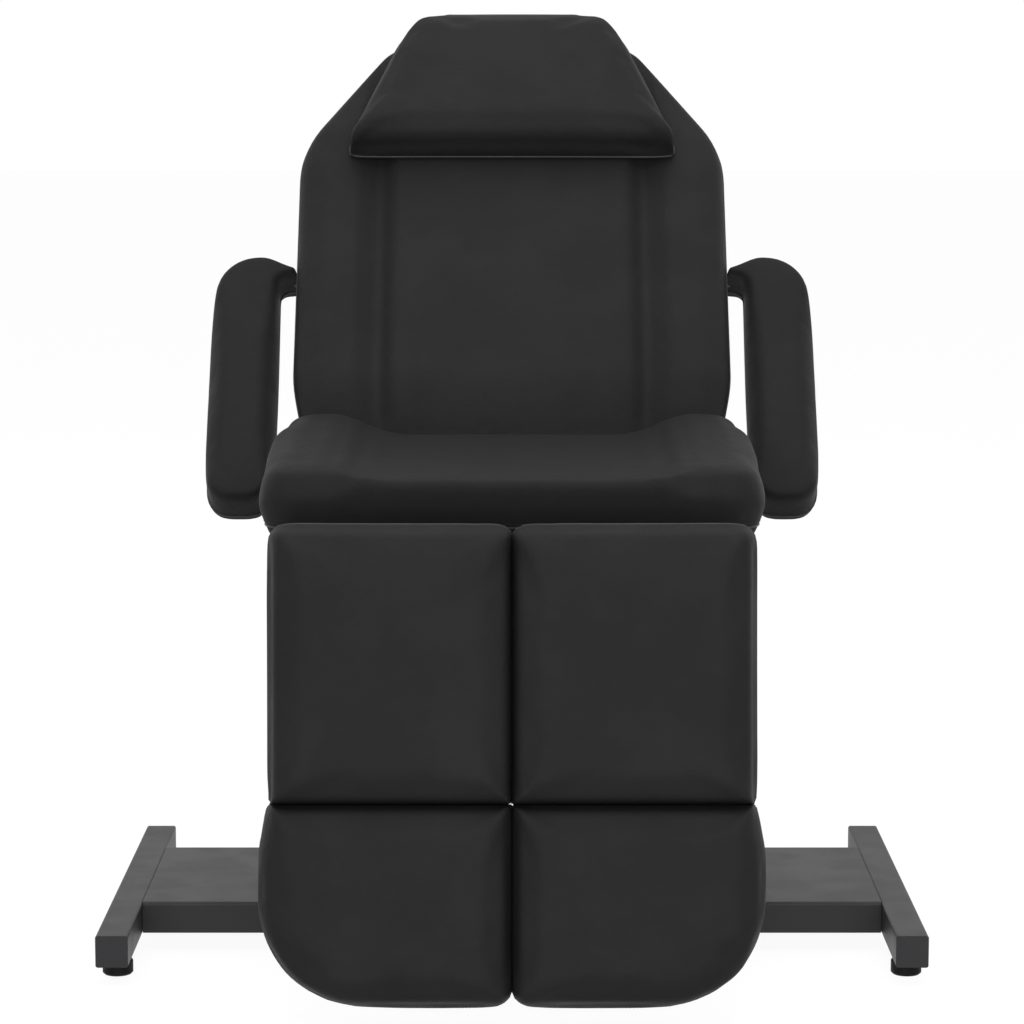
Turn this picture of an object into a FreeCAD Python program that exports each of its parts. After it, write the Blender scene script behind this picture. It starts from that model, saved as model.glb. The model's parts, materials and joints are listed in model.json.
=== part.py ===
import FreeCAD, Part
import math
import os

# Beauty treatment chair, in millimetres: it faces -Y, +Z is up and the floor is z = 0.
# Back, leg and foot sections are drawn lying flat with their hinge at the origin, then turned.

V = FreeCAD.Vector
X_AXIS = V(1, 0, 0)

# Base
BASE_WIDTH = 1020.0
BASE_DEPTH = 600.0
BASE_CENTRE_Y = -81.0
RAIL_SIZE = 40.0
RAIL_WALL = 2.0
CAP_THICKNESS = 3.0
CAP_PLUG = 10.0
CROSS_DEPTH = 305.0
CROSS_SHIFT = 20.0
CROSS_WALL = 3.0
CROSS_EDGE = 4.0
FOOT_HEIGHT = 24.0
FOOT_DIAMETER = 38.0
FOOT_COLLAR = 4.0
FOOT_INSET = 64.0
STUD_DIAMETER = 10.0
STUD_LENGTH = 28.0
BUSH_DIAMETER = 20.0
BUSH_LENGTH = 20.0

# Pedestal
POST_HEIGHT = 433.0
POST_WIDTH = 80.0
POST_DEPTH = 120.0
POST_WALL = 3.0
POST_SPACING = 260.0
FLANGE_MARGIN = 28.0
FLANGE_THICKNESS = 8.0
PLATE_WIDTH = 470.0
PLATE_AHEAD = 150.0
PLATE_BEHIND = 80.0
PLATE_THICKNESS = 8.0
BOLT_DIAMETER = 10.0
BOLT_HEAD = 17.0
BOLT_HEAD_HEIGHT = 6.4

# Seat
SEAT_AHEAD_OF_BASE = 290.0
SEAT_LENGTH = 490.0
SEAT_HALF_WIDTH = 304.0
SEAT_CORNER = 48.0
SEAT_RAIL_WIDTH = 40.0
SEAT_RAIL_HEIGHT = 30.0
SEAT_RAIL_INNER_X = 190.0
SEAT_RAIL_SETBACK = 40.0
SEAT_BOARD_THICKNESS = 15.0
SEAT_BOARD_MARGIN = 24.0
SEAT_FOAM = 105.0
SEAT_ROLL = 0.38
SEAT_DISH_DEPTH = 29.0
SEAT_DISH_FLAT = 165.0
SEAT_DISH_BLEND = 60.0
LUG_THICKNESS = 8.0
LUG_RADIUS = 16.0
HINGE_SIDE_GAP = 2.0

# Back
BACK_HINGE_BEHIND_SEAT = 85.0
BACK_HINGE_RISE = 40.0
BACK_ANGLE = 54.0
BACK_RAIL_WIDTH = 30.0
BACK_RAIL_DEPTH = 25.0
BACK_RAIL_LENGTH = 560.0
BACK_HALF_WIDTH = 301.0
BACK_BOTTOM = -12.0
BACK_SHOULDER = 482.0
BACK_TOP = 662.0
BACK_TOP_HALF_WIDTH = 173.0
BACK_FOAM = 56.0
BACK_CHANNEL_X = 185.0
BACK_CHANNEL_RADIUS = 40.0
BACK_CHANNEL_DEPTH = 9.0
BACK_BOLT_DIAMETER = 14.0
BACK_BOARD_START = 24.0
BACK_BOARD_MARGIN = 34.0
CROSS_TUBE_LOW = 57.5
CROSS_TUBE_END_GAP = 60.0
BOARD_THICKNESS = 12.0
TUBE_WALL = 2.0
TUBE_EDGE = 1.5

# Head pillow
PILLOW_BOTTOM = 449.0
PILLOW_TOP = 694.0
PILLOW_HALF_WIDTH = 236.0
PILLOW_TOP_HALF_WIDTH = 137.0
PILLOW_CORNER = 65.0
PILLOW_THICKNESS = 64.0
PILLOW_TOP_THICKNESS = 46.0

# Armrests
ARM_PIVOT_U = 297.0
ARM_SOCKET_DIAMETER = 25.0
ARM_SOCKET_END_X = 296.0
ARM_TUBE_DIAMETER = 18.0
ARM_TUBE_START_X = 190.0
ARM_BEND_RADIUS = 40.0
ARM_PAD_INNER_X = 328.0
ARM_PAD_OUTER_X = 421.0
ARM_SIDE_GAP = 1.0
ARM_PAD_NECK_HALF = 22.0
ARM_PAD_END_U = -73.0
ARM_PAD_BELOW = 30.0
ARM_PAD_ABOVE = 42.0
ARM_SHOULDER = 64.0
ARM_END_CORNER = 35.0
ARM_TUBE_END_U = -40.0
ARM_KNOB_X = 240.0
ARM_KNOB_DIAMETER = 40.0
ARM_KNOB_HEIGHT = 20.0
ARM_SCREW_DIAMETER = 8.0
ARM_BOSS_DIAMETER = 18.0
ARM_BOSS_HEIGHT = 8.0

# Leg rests
LEG_HINGE_AHEAD_OF_SEAT = 45.0
LEG_HINGE_RISE = 10.0
LEG_ANGLE = 82.0
LEG_ROD_DIAMETER = 18.0
LEG_SLEEVE_DIAMETER = 25.0
LEG_SLEEVE_INNER_X = 12.0
LEG_SLEEVE_OUTER_X = 178.0
LEG_BRACKET_THICKNESS = 10.0
LEG_SPINE_CENTRE_X = 143.5
LEG_SPINE_WIDTH = 60.0
LEG_PAD_INNER_X = 1.0
LEG_PAD_OUTER_X = 289.3
LEG_PAD_TOP = -32.0
LEG_PAD_END = 297.2
LEG_PAD_CORNER = 20.0
LEG_PAD_ROLL = 0.55
CREASE_CORNER = 5.0
LEG_FOAM = 60.5
LEG_BOARD_START = 22.0
LEG_BOARD_MARGIN = 22.0
LEG_KNOB_DIAMETER = 44.0
LEG_KNOB_WIDTH = 26.0
LEG_KNOB_STUD = 10.0

# Foot rests
FOOT_HINGE_U = 299.0
FOOT_PIN_DIAMETER = 10.0
FOOT_SLEEVE_DIAMETER = 20.0
FOOT_LUG_THICKNESS = 6.0
FOOT_PAD_START = 300.8
FOOT_PAD_END = 540.0
FOOT_PAD_FLARE_LENGTH = 58.0
FOOT_PAD_WIDEST_X = 300.0
FOOT_PAD_END_CORNER = 121.0
FOOT_PAD_INNER_CORNER = 23.0
FOOT_BAR_WIDTH = 40.0
FOOT_BAR_THICKNESS = 6.0

# Gas spring and its release lever
SPRING_LOWER_AHEAD = 20.0
SPRING_LOWER_DROP = 47.0
SPRING_UPPER_U = 53.0
SPRING_UPPER_V = -84.5
SPRING_NECK = 30.0
SPRING_CYLINDER_DIAMETER = 24.0
SPRING_CYLINDER_BORE = 18.0
SPRING_CYLINDER_LENGTH = 250.0
SPRING_ROD_DIAMETER = 10.0
SPRING_ROD_LENGTH = 225.0
SPRING_EYE_DIAMETER = 20.0
SPRING_EYE_WIDTH = 19.0
SPRING_PIN_DIAMETER = 8.0
CHEEK_THICKNESS = 5.0
LEVER_PIVOT_U = 88.0
LEVER_PIVOT_V = -52.0
LEVER_LENGTH = 330.0
LEVER_DIAMETER = 10.0
LEVER_GRIP_DIAMETER = 24.0
LEVER_GRIP_LENGTH = 90.0

# Fits
RUN_CLEARANCE = 0.05
FACE_CLEARANCE = 0.3
BOLT_CLEARANCE = 0.2
SCREW_DIAMETER = 6.0
SCREW_HEAD = 12.0
SCREW_HEAD_HEIGHT = 4.0
LEAST_CORNER = 3.0

# Heights and places that follow from the sizes above
RAIL_TOP = FOOT_HEIGHT + RAIL_SIZE
PLATE_Z = RAIL_TOP + POST_HEIGHT
SEAT_RAIL_Z = PLATE_Z + PLATE_THICKNESS
SEAT_BOARD_Z = SEAT_RAIL_Z + SEAT_RAIL_HEIGHT
SEAT_FOAM_Z = SEAT_BOARD_Z + SEAT_BOARD_THICKNESS
SEAT_FRONT_Y = BASE_CENTRE_Y - SEAT_AHEAD_OF_BASE
SEAT_REAR_Y = SEAT_FRONT_Y + SEAT_LENGTH
SEAT_RAIL_FRONT_Y = SEAT_FRONT_Y + SEAT_RAIL_SETBACK
SEAT_RAIL_REAR_Y = SEAT_REAR_Y + SEAT_BOARD_MARGIN
BACK_HINGE_Y = SEAT_REAR_Y + BACK_HINGE_BEHIND_SEAT
BACK_HINGE_Z = SEAT_BOARD_Z + BACK_HINGE_RISE
LEG_HINGE_Y = SEAT_FRONT_Y - LEG_HINGE_AHEAD_OF_SEAT
LEG_HINGE_Z = SEAT_BOARD_Z + LEG_HINGE_RISE
LUG_X = SEAT_RAIL_INNER_X - LUG_THICKNESS
BACK_RAIL_OUTER_X = LUG_X - HINGE_SIDE_GAP
BACK_RAIL_INNER_X = BACK_RAIL_OUTER_X - BACK_RAIL_WIDTH
ARM_PAD_NECK_X = BACK_HALF_WIDTH + ARM_SIDE_GAP
HALF_DEPTH = BACK_RAIL_DEPTH / 2
CROSS_TUBE_PLACES = (CROSS_TUBE_LOW, BACK_RAIL_LENGTH - CROSS_TUBE_END_GAP)
BACK_FOAM_V = HALF_DEPTH + BOARD_THICKNESS
BACK_CROWN_V = BACK_FOAM_V + BACK_FOAM
LEG_FOAM_V = LEG_SLEEVE_DIAMETER / 2 + BOARD_THICKNESS
ARM_TUBE_X = (ARM_PAD_INNER_X + ARM_PAD_OUTER_X) / 2


def box(x0, x1, y0, y1, z0, z1):
    """A block between two opposite corners."""
    return Part.makeBox(x1 - x0, y1 - y0, z1 - z0, V(x0, y0, z0))


def rod(diameter, start, end):
    """A round bar from one point to another."""
    return Part.makeCylinder(diameter / 2, (end - start).Length, start, end - start)


def rod_x(diameter, x0, x1, y, z):
    """A round bar across the chair."""
    return rod(diameter, V(x0, y, z), V(x1, y, z))


def rounded_bar(spans, radius):
    """A bar between (low, high) limits on each axis, its edges rounded along the longest one."""
    sides = list(spans)
    axis = max(range(3), key=lambda k: sides[k][1] - sides[k][0])
    start, end = sides.pop(axis)
    (a0, a1), (b0, b1) = sides
    corners = [(a0, b0, radius), (a1, b0, radius), (a1, b1, radius), (a0, b1, radius)]
    units = [V(1, 0, 0), V(0, 1, 0), V(0, 0, 1)]
    along = units.pop(axis)
    return prism(corners, lambda a, b: along * start + units[0] * a + units[1] * b, along * (end - start))


def square_tube(x0, x1, y0, y1, z0, z1, wall):
    """A hollow section along its longest side, open at both ends."""
    spans = [(x0, x1), (y0, y1), (z0, z1)]
    longest = max(high - low for low, high in spans)
    inner = [(low, high) if high - low == longest else (low + wall, high - wall) for low, high in spans]
    return rounded_bar(spans, TUBE_EDGE * wall).cut(rounded_bar(inner, (TUBE_EDGE - 1) * wall))


def hexagon(across_flats, height, base, direction):
    """A hexagon head or nut standing on base along direction."""
    radius = across_flats / math.sqrt(3)
    corners = [(radius * math.cos(k * math.pi / 3), radius * math.sin(k * math.pi / 3), 0) for k in range(6)]
    head = prism(corners, lambda a, b: V(a, b, 0), V(0, 0, height))
    turn = FreeCAD.Rotation(V(0, 0, 1), direction)
    head.Placement = FreeCAD.Placement(base, turn)
    return head


def rounded_loop(corners, lift):
    """A closed wire through corners (a, b, radius), each corner an arc of its radius."""
    edges = []
    ends = []
    count = len(corners)
    for i, (a, b, radius) in enumerate(corners):
        corner = V(a, b, 0)
        before = V(*corners[i - 1][:2], 0) - corner
        after = V(*corners[(i + 1) % count][:2], 0) - corner
        half = before.getAngle(after) / 2
        before.normalize()
        after.normalize()
        if radius == 0:
            ends.append((corner, corner))
            continue
        run = radius / math.tan(half)
        middle = before + after
        middle.normalize()
        depth = radius / math.sin(half) - radius
        first, last, bulge = corner + before * run, corner + after * run, corner + middle * depth
        ends.append((first, last))
        edges.append(Part.Arc(*(lift(p.x, p.y) for p in (first, bulge, last))).toShape())
    for i in range(count):
        start, end = ends[i][1], ends[(i + 1) % count][0]
        edges.append(Part.LineSegment(lift(start.x, start.y), lift(end.x, end.y)).toShape())
    return Part.Wire(Part.__sortEdges__(edges))


def prism(corners, lift, direction):
    """A rounded outline pushed along direction."""
    return Part.Face(rounded_loop(corners, lift)).extrude(direction)


def plate_x(corners, x0, x1):
    """A plate with its outline in the Y-Z plane."""
    return prism(corners, lambda a, b: V(x0, a, b), V(x1 - x0, 0, 0))


def inset(corners, distance):
    """The outline, counter-clockwise, with every side moved inwards by distance."""
    count = len(corners)
    lines = []
    for i in range(count):
        start = V(*corners[i][:2], 0)
        along = V(*corners[(i + 1) % count][:2], 0) - start
        along.normalize()
        lines.append((start + V(-along.y, along.x, 0) * distance, along))
    moved = []
    for i in range(count):
        (p, d), (q, e) = lines[i - 1], lines[i]
        cross = d.x * e.y - d.y * e.x
        reach = ((q.x - p.x) * e.y - (q.y - p.y) * e.x) / cross
        meet = p + d * reach
        radius = corners[i][2] - distance if cross > 0 else corners[i][2] + distance
        moved.append((meet.x, meet.y, max(radius, LEAST_CORNER)))
    return moved


def cushion(corners, bottom, height, shrink=1.0):
    """A crowned pad: drawn in at the base, fullest low on the side, rolled over to its top."""
    levels = ((0, 7), (0.3, 0), (0.62, 1.5), (0.86, 9), (0.965, 22), (1, 40))
    wires = [
        rounded_loop(inset(corners, step * shrink), lambda a, b, z=bottom + height * part: V(a, b, z))
        for part, step in levels
    ]
    return Part.makeLoft(wires, True, False)


def turned(shape, hinge_y, hinge_z, angle):
    """A section drawn flat, turned about its hinge and set at its place."""
    copy = shape.copy()
    copy.rotate(V(0, 0, 0), X_AXIS, angle)
    copy.translate(V(0, hinge_y, hinge_z))
    return copy


def on_back(shape):
    """A piece of the back section at its place."""
    return turned(shape, BACK_HINGE_Y, BACK_HINGE_Z, BACK_ANGLE)


def on_leg(shape):
    """A piece of the leg section at its place; drawn flat it reaches along -Y."""
    return turned(shape, LEG_HINGE_Y, LEG_HINGE_Z, LEG_ANGLE)


def mirrored(shape):
    """The same piece on the chair's left side."""
    return shape.mirror(V(0, 0, 0), X_AXIS)


def both_sides(shape):
    """The piece and its mirror image as one group of solids."""
    return Part.makeCompound([shape, mirrored(shape)])


# Base


def foot_places():
    """Centres of the levelling feet, by name."""
    x = (BASE_WIDTH - RAIL_SIZE) / 2
    y = BASE_DEPTH / 2 - FOOT_INSET
    return {
        "front_left": V(-x, BASE_CENTRE_Y - y, 0),
        "front_right": V(x, BASE_CENTRE_Y - y, 0),
        "rear_left": V(-x, BASE_CENTRE_Y + y, 0),
        "rear_right": V(x, BASE_CENTRE_Y + y, 0),
    }


def base_rail():
    """Right-hand floor rail, drilled under each foot bush."""
    x1 = BASE_WIDTH / 2
    half = BASE_DEPTH / 2 - CAP_THICKNESS
    rail = square_tube(
        x1 - RAIL_SIZE, x1, BASE_CENTRE_Y - half, BASE_CENTRE_Y + half, FOOT_HEIGHT, RAIL_TOP, RAIL_WALL
    )
    for name, place in foot_places().items():
        if name.endswith("right"):
            rail = rail.cut(rod(STUD_DIAMETER + 2 * BOLT_CLEARANCE, place, place + V(0, 0, RAIL_TOP / 2)))
    return rail


def rail_end_caps():
    """Four plugged caps that close the rail ends."""
    x0 = BASE_WIDTH / 2 - RAIL_SIZE
    x1 = BASE_WIDTH / 2
    lip = RAIL_WALL + BOLT_CLEARANCE
    front = BASE_CENTRE_Y - BASE_DEPTH / 2
    inside = front + CAP_THICKNESS + CAP_PLUG
    edge = TUBE_EDGE * RAIL_WALL
    corners = [(x0, FOOT_HEIGHT, edge), (x1, FOOT_HEIGHT, edge), (x1, RAIL_TOP, edge), (x0, RAIL_TOP, edge)]
    cap = prism(corners, lambda a, b: V(a, front, b), V(0, CAP_THICKNESS, 0))
    plug = prism(inset(corners, lip), lambda a, b: V(a, front, b), V(0, inside - front, 0))
    front_cap = cap.fuse(plug).removeSplitter()
    rear_cap = front_cap.mirror(V(0, BASE_CENTRE_Y, 0), V(0, 1, 0))
    caps = [front_cap, rear_cap]
    return Part.makeCompound(caps + [mirrored(c) for c in caps])


def base_crosspiece():
    """Wide folded channel between the rails, open underneath."""
    x = BASE_WIDTH / 2 - RAIL_SIZE
    y0 = BASE_CENTRE_Y + CROSS_SHIFT - CROSS_DEPTH / 2
    y1 = BASE_CENTRE_Y + CROSS_SHIFT + CROSS_DEPTH / 2
    corners = [(y0, FOOT_HEIGHT, 0), (y1, FOOT_HEIGHT, 0), (y1, RAIL_TOP, CROSS_EDGE), (y0, RAIL_TOP, CROSS_EDGE)]
    channel = plate_x(corners, -x, x)
    hollow = box(-x, x, y0 + CROSS_WALL, y1 - CROSS_WALL, FOOT_HEIGHT, RAIL_TOP - CROSS_WALL)
    channel = channel.cut(hollow)
    for place in pedestal_bolt_places():
        channel = channel.cut(bolt_hole(place))
    return channel


def levelling_bushes():
    """Threaded bushes standing inside the rails over the feet."""
    z0 = FOOT_HEIGHT + RAIL_WALL
    bushes = []
    for place in foot_places().values():
        base = V(place.x, place.y, z0)
        bush = rod(BUSH_DIAMETER, base, base + V(0, 0, BUSH_LENGTH))
        bore = rod(STUD_DIAMETER + 2 * RUN_CLEARANCE, base, base + V(0, 0, BUSH_LENGTH))
        bushes.append(bush.cut(bore))
    return Part.makeCompound(bushes)


def levelling_foot(place):
    """Turned foot: rounded floor pad, hexagon collar and threaded stud."""
    pad_height = FOOT_HEIGHT - FOOT_COLLAR
    radius = FOOT_DIAMETER / 2
    edge = radius / 8
    outline = [
        (0, 0, 0),
        (radius - edge, 0, 0),
        (radius, edge, 0),
        (radius, pad_height - edge, edge),
        (STUD_DIAMETER / 2, pad_height, 0),
        (0, pad_height, 0),
    ]
    pad = Part.Face(rounded_loop(outline, lambda a, b: V(a, 0, b))).revolve(V(0, 0, 0), V(0, 0, 1), 360)
    collar = hexagon(BOLT_HEAD, FOOT_COLLAR, V(0, 0, pad_height), V(0, 0, 1))
    stud = rod(STUD_DIAMETER, V(0, 0, pad_height / 2), V(0, 0, FOOT_HEIGHT + STUD_LENGTH))
    foot = pad.fuse([collar, stud]).removeSplitter()
    foot.translate(place)
    return foot


# Pedestal


def pedestal_bolt_places():
    """Centres of the bolts through both post flanges."""
    x_side = POST_WIDTH / 2 + FLANGE_MARGIN / 2
    y_side = POST_DEPTH / 2 + FLANGE_MARGIN / 2
    return [
        V(side * POST_SPACING / 2 + sx * x_side, BASE_CENTRE_Y + sy * y_side, RAIL_TOP)
        for side in (-1, 1)
        for sx in (-1, 1)
        for sy in (-1, 1)
    ]


def bolt_hole(place):
    """Clearance hole for one pedestal bolt."""
    reach = V(0, 0, RAIL_SIZE / 2)
    return rod(BOLT_DIAMETER + 2 * BOLT_CLEARANCE, place - reach, place + reach)


def pedestal_post():
    """Right-hand upright: rectangular tube welded on a bolted flange."""
    x = POST_SPACING / 2
    half_x = POST_WIDTH / 2
    half_y = POST_DEPTH / 2
    top = RAIL_TOP + POST_HEIGHT
    tube = square_tube(
        x - half_x, x + half_x, BASE_CENTRE_Y - half_y, BASE_CENTRE_Y + half_y, RAIL_TOP, top, POST_WALL
    )
    edge_x = half_x + FLANGE_MARGIN
    edge_y = half_y + FLANGE_MARGIN
    corner = FLANGE_MARGIN / 2
    outline = [
        (x - edge_x, BASE_CENTRE_Y - edge_y, corner),
        (x + edge_x, BASE_CENTRE_Y - edge_y, corner),
        (x + edge_x, BASE_CENTRE_Y + edge_y, corner),
        (x - edge_x, BASE_CENTRE_Y + edge_y, corner),
    ]
    flange = prism(outline, lambda a, b: V(a, b, RAIL_TOP), V(0, 0, FLANGE_THICKNESS))
    post = tube.fuse(flange).removeSplitter()
    for place in pedestal_bolt_places():
        post = post.cut(bolt_hole(place))
    return post


def pedestal_bolts():
    """Hexagon bolts and nuts that clamp the flanges to the crosspiece."""
    bolts = []
    up = V(0, 0, 1)
    for place in pedestal_bolt_places():
        head = place + up * FLANGE_THICKNESS
        nut = place - up * (CROSS_WALL + BOLT_HEAD_HEIGHT)
        tip = nut - up * (BOLT_HEAD_HEIGHT / 2)
        solids = [hexagon(BOLT_HEAD, BOLT_HEAD_HEIGHT, head, up), hexagon(BOLT_HEAD, BOLT_HEAD_HEIGHT, nut, up)]
        bolts.append(rod(BOLT_DIAMETER, tip, head).fuse(solids).removeSplitter())
    return Part.makeCompound(bolts)


def pedestal_top_plate():
    """Plate welded across both posts, carrying the seat rails, open where a board screw comes over it."""
    x = PLATE_WIDTH / 2
    y0 = BASE_CENTRE_Y - PLATE_AHEAD
    y1 = BASE_CENTRE_Y + PLATE_BEHIND
    corner = FLANGE_MARGIN / 2
    outline = [(-x, y0, corner), (x, y0, corner), (x, y1, corner), (-x, y1, corner)]
    plate = prism(outline, lambda a, b: V(a, b, PLATE_Z), V(0, 0, PLATE_THICKNESS))
    for place in seat_screw_places():
        access = rod(SCREW_HEAD + SCREW_DIAMETER, place - V(0, 0, PLATE_THICKNESS), place)
        plate = plate.cut(access).cut(mirrored(access))
    return plate


# Seat


def seat_screw_places():
    """Centres of the board screws along the right-hand seat rail."""
    x = SEAT_RAIL_INNER_X + SEAT_RAIL_WIDTH / 2
    front = SEAT_RAIL_FRONT_Y + SEAT_RAIL_WIDTH
    rear = SEAT_RAIL_REAR_Y - 2 * SEAT_RAIL_WIDTH
    return [V(x, y, SEAT_RAIL_Z) for y in (front, rear)]


def screw(place, direction, length):
    """Pan-head screw: its head lies under place and its shank runs along direction."""
    head = rod(SCREW_HEAD, place - direction * SCREW_HEAD_HEIGHT, place)
    return head.fuse(rod(SCREW_DIAMETER, place, place + direction * length)).removeSplitter()


def screw_hole(place, direction, length):
    """Clearance hole for such a screw."""
    return rod(SCREW_DIAMETER + 2 * BOLT_CLEARANCE, place - direction, place + direction * length)


def seat_rail():
    """Right-hand seat rail with hinge lugs for the back and the leg rests."""
    x0 = SEAT_RAIL_INNER_X
    rail = square_tube(
        x0, x0 + SEAT_RAIL_WIDTH, SEAT_RAIL_FRONT_Y, SEAT_RAIL_REAR_Y, SEAT_RAIL_Z, SEAT_BOARD_Z, TUBE_WALL
    )
    grip = 2 * SEAT_RAIL_WIDTH
    front = [
        (SEAT_RAIL_FRONT_Y + grip, SEAT_RAIL_Z, 0),
        (SEAT_RAIL_FRONT_Y + grip, SEAT_BOARD_Z, 0),
        (SEAT_FRONT_Y + SEAT_BOARD_MARGIN, SEAT_BOARD_Z, 0),
        (LEG_HINGE_Y + LUG_RADIUS, LEG_HINGE_Z + LUG_RADIUS, LUG_RADIUS / 2),
        (LEG_HINGE_Y - LUG_RADIUS, LEG_HINGE_Z + LUG_RADIUS, LUG_RADIUS - 1),
        (LEG_HINGE_Y - LUG_RADIUS, LEG_HINGE_Z - LUG_RADIUS, LUG_RADIUS - 1),
        (SEAT_RAIL_FRONT_Y, SEAT_RAIL_Z, 0),
    ]
    rear = [
        (SEAT_RAIL_REAR_Y - grip, SEAT_RAIL_Z, 0),
        (SEAT_RAIL_REAR_Y, SEAT_RAIL_Z, 0),
        (BACK_HINGE_Y + LUG_RADIUS, BACK_HINGE_Z - LUG_RADIUS, LUG_RADIUS - 1),
        (BACK_HINGE_Y + LUG_RADIUS, BACK_HINGE_Z + LUG_RADIUS, LUG_RADIUS - 1),
        (BACK_HINGE_Y - LUG_RADIUS, BACK_HINGE_Z + LUG_RADIUS, LUG_RADIUS - 1),
        (SEAT_RAIL_REAR_Y, SEAT_BOARD_Z, 0),
        (SEAT_RAIL_REAR_Y - grip, SEAT_BOARD_Z, 0),
    ]
    rail = rail.fuse([plate_x(front, LUG_X, x0), plate_x(rear, LUG_X, x0)]).removeSplitter()
    rail = rail.cut(rod_x(LEG_ROD_DIAMETER + 2 * RUN_CLEARANCE, LUG_X - 1, x0 + 1, LEG_HINGE_Y, LEG_HINGE_Z))
    back_bore = BACK_BOLT_DIAMETER + 2 * RUN_CLEARANCE
    rail = rail.cut(rod_x(back_bore, LUG_X - 1, x0 + 1, BACK_HINGE_Y, BACK_HINGE_Z))
    for place in seat_screw_places():
        rail = rail.cut(screw_hole(place, V(0, 0, 1), SEAT_RAIL_HEIGHT + 1))
    return rail


def seat_screws():
    """Screws from under the rails into the seat board."""
    length = SEAT_RAIL_HEIGHT + SEAT_BOARD_THICKNESS * 0.7
    right = Part.makeCompound([screw(place, V(0, 0, 1), length) for place in seat_screw_places()])
    return both_sides(right)


def seat_board():
    """Plywood board under the seat cushion, drilled for its screws."""
    x = SEAT_HALF_WIDTH - SEAT_BOARD_MARGIN
    y0 = SEAT_FRONT_Y + SEAT_BOARD_MARGIN
    y1 = SEAT_REAR_Y - SEAT_BOARD_MARGIN
    outline = [(-x, y0, SEAT_CORNER), (x, y0, SEAT_CORNER), (x, y1, SEAT_CORNER), (-x, y1, SEAT_CORNER)]
    board = prism(outline, lambda a, b: V(a, b, SEAT_BOARD_Z), V(0, 0, SEAT_BOARD_THICKNESS))
    depth = SEAT_RAIL_HEIGHT + SEAT_BOARD_THICKNESS * 0.7
    for place in seat_screw_places():
        hole = screw_hole(place, V(0, 0, 1), depth)
        board = board.cut(hole).cut(mirrored(hole))
    return board


def seat_dish():
    """Long hollow between the seat's side bolsters, as a cutter with S-shaped flanks."""
    flat = SEAT_DISH_FLAT
    edge = flat + SEAT_DISH_BLEND
    middle = flat + SEAT_DISH_BLEND / 2
    top = SEAT_FOAM_Z + SEAT_FOAM
    low = top - SEAT_DISH_DEPTH
    y = SEAT_FRONT_Y - SEAT_CORNER
    half = SEAT_DISH_DEPTH / 2
    radius = ((SEAT_DISH_BLEND / 2) ** 2 + half**2) / (2 * half)
    sweep = math.asin(SEAT_DISH_BLEND / 2 / radius) / 2
    across = radius * math.sin(sweep)
    rise = radius * (1 - math.cos(sweep))
    edges = [Part.LineSegment(V(-flat, y, low), V(flat, y, low)).toShape()]
    for side in (-1, 1):
        lower = Part.Arc(
            V(side * flat, y, low), V(side * (flat + across), y, low + rise), V(side * middle, y, low + half)
        )
        upper = Part.Arc(
            V(side * middle, y, low + half), V(side * (edge - across), y, top - rise), V(side * edge, y, top)
        )
        lift = Part.LineSegment(V(side * edge, y, top), V(side * edge, y, top + half))
        edges += [lower.toShape(), upper.toShape(), lift.toShape()]
    edges.append(Part.LineSegment(V(-edge, y, top + half), V(edge, y, top + half)).toShape())
    wire = Part.Wire(Part.__sortEdges__(edges))
    return Part.Face(wire).extrude(V(0, SEAT_LENGTH + 2 * SEAT_CORNER, 0))


def seat_cushion():
    """Seat pad with raised side bolsters and a rolled front edge."""
    x = SEAT_HALF_WIDTH
    outline = [
        (-x, SEAT_FRONT_Y, SEAT_CORNER),
        (x, SEAT_FRONT_Y, SEAT_CORNER),
        (x, SEAT_REAR_Y, SEAT_CORNER),
        (-x, SEAT_REAR_Y, SEAT_CORNER),
    ]
    return cushion(outline, SEAT_FOAM_Z, SEAT_FOAM, SEAT_ROLL).cut(seat_dish())


# Back


def back_outline():
    """Outline of the back: straight sides, rounded shoulders and a narrow flat top."""
    x = BACK_HALF_WIDTH
    top = BACK_TOP_HALF_WIDTH
    low = x / 5
    return [
        (-x, BACK_BOTTOM, low),
        (x, BACK_BOTTOM, low),
        (x, BACK_SHOULDER, x / 2),
        (top, BACK_TOP, low),
        (-top, BACK_TOP, low),
        (-x, BACK_SHOULDER, x / 2),
    ]


def back_screw_places():
    """Centres of the board screws on the rear of the right-hand back rail."""
    x = (BACK_RAIL_INNER_X + BACK_RAIL_OUTER_X) / 2
    return [V(x, share * BACK_RAIL_LENGTH, -HALF_DEPTH) for share in (0.3, 0.9)]


def back_rail():
    """Right-hand back rail, bored for its hinge bolt and screws."""
    rail = square_tube(
        BACK_RAIL_INNER_X, BACK_RAIL_OUTER_X, -HALF_DEPTH, BACK_RAIL_LENGTH, -HALF_DEPTH, HALF_DEPTH, TUBE_WALL
    )
    bore = BACK_BOLT_DIAMETER + 2 * RUN_CLEARANCE
    rail = rail.cut(rod_x(bore, BACK_RAIL_INNER_X - 1, BACK_RAIL_OUTER_X + 1, 0, 0))
    for place in back_screw_places():
        rail = rail.cut(screw_hole(place, V(0, 0, 1), BACK_RAIL_DEPTH + 1))
    return rail


def back_screws():
    """Screws from the rear of the rails into the back board."""
    length = BACK_RAIL_DEPTH + BOARD_THICKNESS * 0.7
    right = Part.makeCompound([screw(place, V(0, 0, 1), length) for place in back_screw_places()])
    return both_sides(right)


def back_cross_tube(centre):
    """Tube welded between the back rails at a height along them."""
    x = BACK_RAIL_INNER_X
    return square_tube(-x, x, centre - HALF_DEPTH, centre + HALF_DEPTH, -HALF_DEPTH, HALF_DEPTH, TUBE_WALL)


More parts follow.
